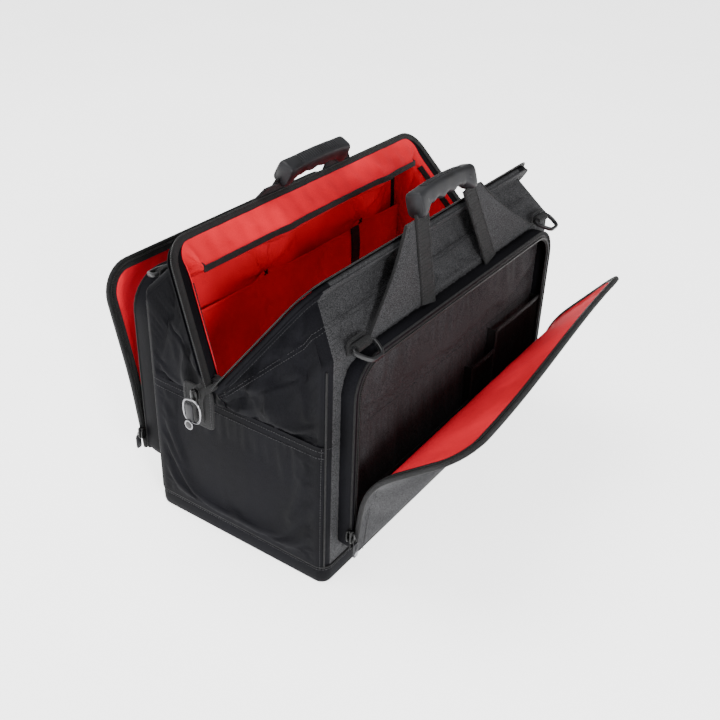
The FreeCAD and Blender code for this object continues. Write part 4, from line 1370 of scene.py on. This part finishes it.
def make_pocket_slider(side):
    """A pocket zipper's slider, and the pull that hangs from its bridge."""
    sign = SIDES[side]
    low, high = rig.box(side + "_slider")
    middle = (low + high) / 2
    face = high.y if sign > 0 else low.y

    def place(depth, lift):
        """A point `depth` behind the slider's face and `lift` above its middle."""
        return Vector((middle.x, face - sign * depth * mm, middle.z + lift * mm))

    metal = "black_metal"
    wings = puck(side + "_slider_body", place(1.4, 0), X, Z, *mms(8.4, 17.5, 2.6), metal, 3.0)
    back = puck(side + "_slider_back", place(6.6, 0), X, Z, *mms(8.4, 16, 2.2), metal, 3.0)
    post = puck(side + "_slider_post", place(4, 6), X, Z, *mms(3, 4, 4.4), metal)
    arch = [place(-a, b) for a, b in ((-0.5, 6.5), (1.2, 6), (2.0, 3.5), (2.1, 0), (1.9, -3),
                                      (1.0, -5), (-0.5, -5.5))]
    bridge = sweep(side + "_slider_bridge", arch, oval(*mms(3, 1.1), 3, 10), metal, Y * sign)
    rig.replaces(wings, side + "_slider")
    wear((wings, back, post, bridge), side + "_slider", "black_metal")
    low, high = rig.box(side + "_pull")
    _, hinge_y, hinge_z = joints[side + "_pull_swing"]["pos_m"]
    front = ((high.y - 1.7 * mm) if sign > 0 else (low.y + 1.7 * mm))

    def on_tab(out, drop):
        """A point `out` from the tab's middle plane and `drop` below the hinge."""
        return Vector((middle.x, front + sign * out * mm, hinge_z - drop * mm))

    corners = ((-2.6, 0.3, 0), (2.6, 0.3, 0), (3, -6, 1), (0, -8.4, 1.4), (-3, -6, 1))
    ring = smooth_loop([Vector((middle.x + a * mm, hinge_y + sign * c * mm, hinge_z + b * mm))
                        for a, b, c in corners], 2)
    link = sweep(side + "_pull_link", ring, oval(*mms(1.2, 1.2), 2, 8), metal, Y * sign, True)
    tab = puck(side + "_pull_tab", on_tab(0, 16.5), X, Z, *mms(8.6, 20.5, 2.4), "grip", 4.5)
    badge = puck(side + "_pull_badge", on_tab(1.3, 21.5), X, Z, *mms(7, 7, 0.9), "nickel", 2)
    ribs = beads(side + "_pull_ribs", [(on_tab(1.25, 9.5 + 2 * i), X, Y * sign) for i in range(4)],
                 mms(6, 0.9, 0.8), "grip")
    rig.replaces(tab, side + "_pull")
    wear((link, tab, badge, ribs), side + "_pull", "grip_rubber")


def make_main_pull():
    """The mouth zipper's parked slider, its ring, and the tab with a round badge."""
    metal = "black_metal"
    low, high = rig.box("main_slider")
    middle = (low + high) / 2
    body = puck("main_slider_body", Vector((low.x + 2.2 * mm, middle.y, middle.z)), Y, Z,
                *mms(10, 16, 3.2), metal, 3.2)
    back = puck("main_slider_back", Vector((high.x - 1.2 * mm, middle.y, middle.z)), Y, Z,
                *mms(9.6, 14, 2.2), metal, 3.2)
    arch = [Vector((low.x + (1.0 - a) * mm, middle.y, middle.z + b * mm))
            for a, b in ((0, 5.5), (1.2, 4), (1.5, 0), (1.3, -4), (0, -6))]
    bridge = sweep("main_slider_bridge", arch, oval(*mms(3.4, 1.2), 3, 10), metal, -X)
    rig.replaces(body, "main_slider")
    wear((body, back, bridge), "main_slider", "black_metal")
    low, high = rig.box("main_pull_ring")
    centre, half = (low + high) / 2, (high - low) / 2
    outline = oval(2 * half.y - 3 * mm, 2 * half.z - 3 * mm, 2.7, 40)
    loop = [centre + Y * a + Z * b for a, b in outline]
    ring = sweep("main_ring", loop, oval(*mms(2.4, 2.4), 2, 12), "nickel", -X, True)
    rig.replaces(ring, "main_pull_ring")
    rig.ride(ring, "main_pull_ring")
    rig.slot(ring, "nickel")
    low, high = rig.box("main_pull_tab")
    centre, tall = (low + high) / 2, high.z - low.z
    tab = puck("main_tab", centre, Y, Z, 10 * mm, tall, 2.8 * mm, "grip", 4)
    low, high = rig.box("main_pull_badge")
    centre, wide = (low + high) / 2, high.y - low.y
    badge = puck("main_badge", centre, Y, Z, wide, wide, 1.4 * mm, "nickel", 2)
    boss = puck("main_badge_boss", centre - X * 0.7 * mm, Y, Z, 0.74 * wide, 0.74 * wide, 0.6 * mm,
                "plastic", 2)
    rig.replaces(tab, "main_pull_tab")
    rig.replaces(badge, "main_pull_badge")
    for piece in (tab, badge, boss):
        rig.ride(piece, "main_pull_tab")
        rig.slot(piece, "grip_rubber" if piece is tab else "nickel")


def make_zip_end():
    """The cloth that backs the parked slider, and the zipper's two tails running into it."""
    low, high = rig.box("zip_park_patch")
    centre = (low + high) / 2
    patch = puck("zip_park", centre, Y, Z, high.y - low.y, high.z - low.z, 2.6 * mm, "webbing", 7,
                 steps=36)
    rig.replaces(patch, "zip_park_patch")
    spots = []
    for y in (low.y + 3.5 * mm, high.y - 3.5 * mm):
        line = [Vector((low.x - 0.2 * mm, y, z)) for z in (low.z + 4 * mm, high.z - 4 * mm)]
        spots += [(p, along, -X) for p, along in evenly(line, 3.6 * mm)]
    thread = beads("zip_park_stitches", spots, mms(2.5, 0.7, 0.7), "thread")
    pieces = [patch, thread]
    for sign in (-1, 1):
        y = centre.y
        foot = opened(-LEG_FOOT - 6 * mm, -3 * mm, 10 * mm, sign)
        path = [foot, Vector((-0.2955, sign * 5 * mm + 0.25 * y, pivot_z + 1 * mm)),
                Vector((-0.2975, y * 0.75 + sign * 5 * mm, pivot_z - 6 * mm)),
                Vector((low.x - 1.2 * mm, y + sign * 5.2 * mm, pivot_z - 18 * mm)),
                Vector((low.x - 1.2 * mm, y + sign * 5.2 * mm, low.z + 8 * mm))]
        full = []
        for a, b in zip(path, path[1:]):
            full += [a.lerp(b, i / 4) for i in range(4)]
        full.append(path[-1])
        tail = sweep("zip_tail_%d" % (sign + 1), full, oval(*mms(8, 1.1), 4, 8), "zip", -X)
        pieces.append(tail)
    wear(pieces, "bag", "webbing")


# ------------------------------------------------------------------ pouches and what lines the inside
def make_pouch(name):
    """A mesh pouch on the pocket's back wall, bound all round."""
    low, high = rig.box(name)
    wide, tall = high.x - low.x, high.z - low.z

    def on_net(u, t):
        belly = 2.2 * mm * hump(u) ** 0.5 * (0.35 + 0.65 * hump(min(1, 0.15 + t)))
        return Vector((low.x + wide * u, low.y + 0.7 * mm - belly, low.z + tall * t))

    rows = sheet_rows(int(tall / NET_STEP), int(wide / NET_STEP), on_net)
    net = grid_object(name + "_net", rows, "mesh")
    wires = net.modifiers.new("net", "WIREFRAME")
    wires.thickness = 0.9 * mm
    wires.use_even_offset = False
    apply_modifiers(net)
    binding = sweep(name + "_binding", rows[-1], oval(*mms(7, 2.0), 4, 10), "webbing", -Y)
    foot = sweep(name + "_foot", rows[0], oval(*mms(5, 1.8), 4, 10), "webbing", -Y)
    sides = []
    for tag, column in (("left", 0), ("right", -1)):
        line = [row[column] for row in rows]
        sides.append(sweep("%s_%s" % (name, tag), line, oval(*mms(1.6, 5), 4, 8), "webbing", X))
        back = [[Vector((p.x, p.y + (-half_y - p.y) * k / 4, p.z)) for k in range(5)] for p in line]
        sides.append(thicken(grid_object("%s_%s_gusset" % (name, tag), back, "mesh"), 0.8 * mm, 0.0))
    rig.replaces(net, name)
    wear([net, binding, foot] + sides, "bag", "mesh")


def make_inside():
    """The document sleeve with its tie and tufts."""
    low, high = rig.box("inner_sleeve")
    wide, tall = high.x - low.x, high.z - low.z

    def on_sleeve(u, t):
        x = low.x + wide * u
        belly = 4 * mm * hump(u) * hump(t * 0.9)
        belly += 1.3 * mm * wave_at(5.3 * u + 1.1 * t) * wave_at(2.3 * u - t) * t
        tack = t ** 4 * sum(math.exp(-((x - spot.x) / (22 * mm)) ** 2) for spot in TUFTS)
        return Vector((x, low.y + 1 * mm - belly * 0.6 + 9 * mm * tack,
                       low.z + tall * t + 1.5 * mm * tack))

    rows = sheet_rows(30, 60, on_sleeve)
    pins = [1.0 if r in (0, 30) or c in (0, 20, 40, 60) else 0.0 for r in range(31) for c in range(61)]
    sheet = grid_object("document_sleeve", rows, "red")
    settle(sheet, pins, 0.03, 4 * mm)
    thicken(sheet, 1.0 * mm, 0.0)
    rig.replaces(sheet, "inner_sleeve")
    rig.ride(sheet, "bag")
    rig.slot(sheet, "red_lining")
    binding = sweep("document_sleeve_hem", rows[-1], oval(*mms(5, 2.4), 3, 10), "red", across=-Y)
    knots = [(Vector((spot.x, low.y + 8 * mm, high.z + 1 * mm)), along, -Y) for spot in TUFTS
             for along in (X + Z, X - Z)]
    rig.ride(beads("tuft_knots", knots, mms(9, 2.4, 2.2), "zip"), "bag")
    low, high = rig.box("inner_sleeve_strap")
    x = (low.x + high.x) / 2
    path = [Vector((x, low.y + 0.8 * mm - 3.5 * mm * hump(i / 12), low.z + (high.z - low.z) * i / 12))
            for i in range(13)]
    strap = sweep("document_strap", path, oval(*mms(20, 1.8), 6, 14), "webbing", across=-Y)
    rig.replaces(strap, "inner_sleeve_strap")
    wear((binding, strap), "bag", "webbing")


def make_floor_pad():
    """The quilted pad on the bag's floor."""
    low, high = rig.box("floor_pad")
    size_x, size_y, round_steps = high.x - low.x, high.y - low.y, 96
    rows = []
    for shrink, z in ((1.0, 0.2), (0.2, 1.2), (0.0, 3.0), (0.3, 4.6), (1.4, 5.6), (6.0, 6.1)):
        outline = oval(size_x - 2 * shrink * mm, size_y - 2 * shrink * mm, 12, round_steps)
        rows.append([Vector((a, b, low.z + z * mm)) for a, b in outline])
    for k in range(1, 10):
        f = 1 - k / 10
        quilt = 0.9 * mm * math.cos(2 * math.pi * k / 5)
        rows.append([Vector((a * f, b * f, low.z + 6.2 * mm + quilt * 0.5))
                     for a, b in oval(size_x - 12 * mm, size_y - 12 * mm, 12, round_steps)])
    pad = grid_object("floor_cushion", rows, "red", closed=True)
    close_skin(pad, range((len(rows) - 1) * round_steps, len(rows) * round_steps),
               reversed(range(round_steps)))
    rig.replaces(pad, "floor_pad")
    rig.ride(pad, "bag")
    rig.slot(pad, "red_lining")
    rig.padded(pad, fill=0.7)


def dress_cad():
    """The hard CAD nodes that stay get their own finish."""
    for name, material in (("front_frame_bar", "steel"), ("rear_frame_bar", "steel"),
                           ("pivot_rivets", "nickel"), ("pivot_tabs", "webbing"),
                           ("base_board", "plastic")):
        slots = frame["nodes"][name].data.materials
        slots.clear()
        slots.append(MATS[material])


for side in SIDES:
    make_handle(side)
    make_pocket_slider(side)
    patches = [make_d_ring(side, end) for end in ("left", "right")]
    if side == "front":
        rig.replaces(patches[0], "d_ring_mounts")
for pouch in ("wide_pouch", "pen_pouch", "tall_pouch"):
    make_pouch(pouch)
make_main_pull()
make_zip_end()
make_inside()
make_floor_pad()
dress_cad()
make_base()
for side in SIDES:
    make_seams(side)
    make_mouth(side)
    make_pocket(side)
    make_flap(side)


# ------------------------------------------------------------------ camera, light, floor
def make_stage():
    """A pale floor, a white surround and three soft lamps."""
    corners = [(-40, -40, 0), (40, -40, 0), (40, 40, 0), (-40, 40, 0)]
    floor = mesh_object("floor", corners, [(0, 1, 2, 3)], "nickel")
    mat, tree, shader = new_material("pale_floor", 0.9)
    colour = ramp(tree, noise(tree, 3, 2.0), [(0.3, (0.93, 0.93, 0.93)), (0.7, (0.95, 0.95, 0.95))])
    tree.links.new(colour, shader.inputs["Base Color"])
    tree.links.new(colour, shader.inputs["Emission Color"])
    shader.inputs["Emission Strength"].default_value = 2.6
    floor.data.materials.clear()
    floor.data.materials.append(mat)
    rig.stage(floor)
    world = bpy.data.worlds.new("studio")
    world.use_nodes = True
    world.node_tree.nodes["Background"].inputs["Color"].default_value = (1, 1, 1, 1)
    world.node_tree.nodes["Background"].inputs["Strength"].default_value = 0.5
    bpy.context.scene.world = world
    for name, place, size, power in (("key", (-1.6, -2.3, 1.35), 0.5, 80),
                                     ("top", (-0.3, 0.6, 2.6), 1.6, 60),
                                     ("side", (-2.4, 0.7, 1.3), 1.4, 22)):
        data = bpy.data.lights.new(name, "AREA")
        data.size, data.energy = size, power
        lamp = bpy.data.objects.new(name, data)
        lamp.location = place
        lamp.rotation_euler = (Vector((0, 0, 0.2)) - Vector(place)).to_track_quat("-Z", "Y").to_euler()
        bpy.context.scene.collection.objects.link(lamp)


def make_camera():
    """The photograph's viewpoint."""
    data = bpy.data.cameras.new("camera")
    data.lens, data.sensor_width = 48.71, 36
    camera = bpy.data.objects.new("camera", data)
    place = Vector((-0.9391, -0.6242, 0.8258))
    turn = Vector((0.710, 0.474, -0.521)).to_track_quat("-Z", "Y").to_matrix()
    turn = turn @ Matrix.Rotation(math.radians(2.11), 3, "Z")
    camera.matrix_world = Matrix.Translation(place) @ turn.to_4x4()
    bpy.context.scene.collection.objects.link(camera)
    bpy.context.scene.camera = camera


make_stage()
make_camera()

json.dump({"cad": cad_box, "visual": [list(corner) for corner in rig.bounds()]}, open("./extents.json", "w"))
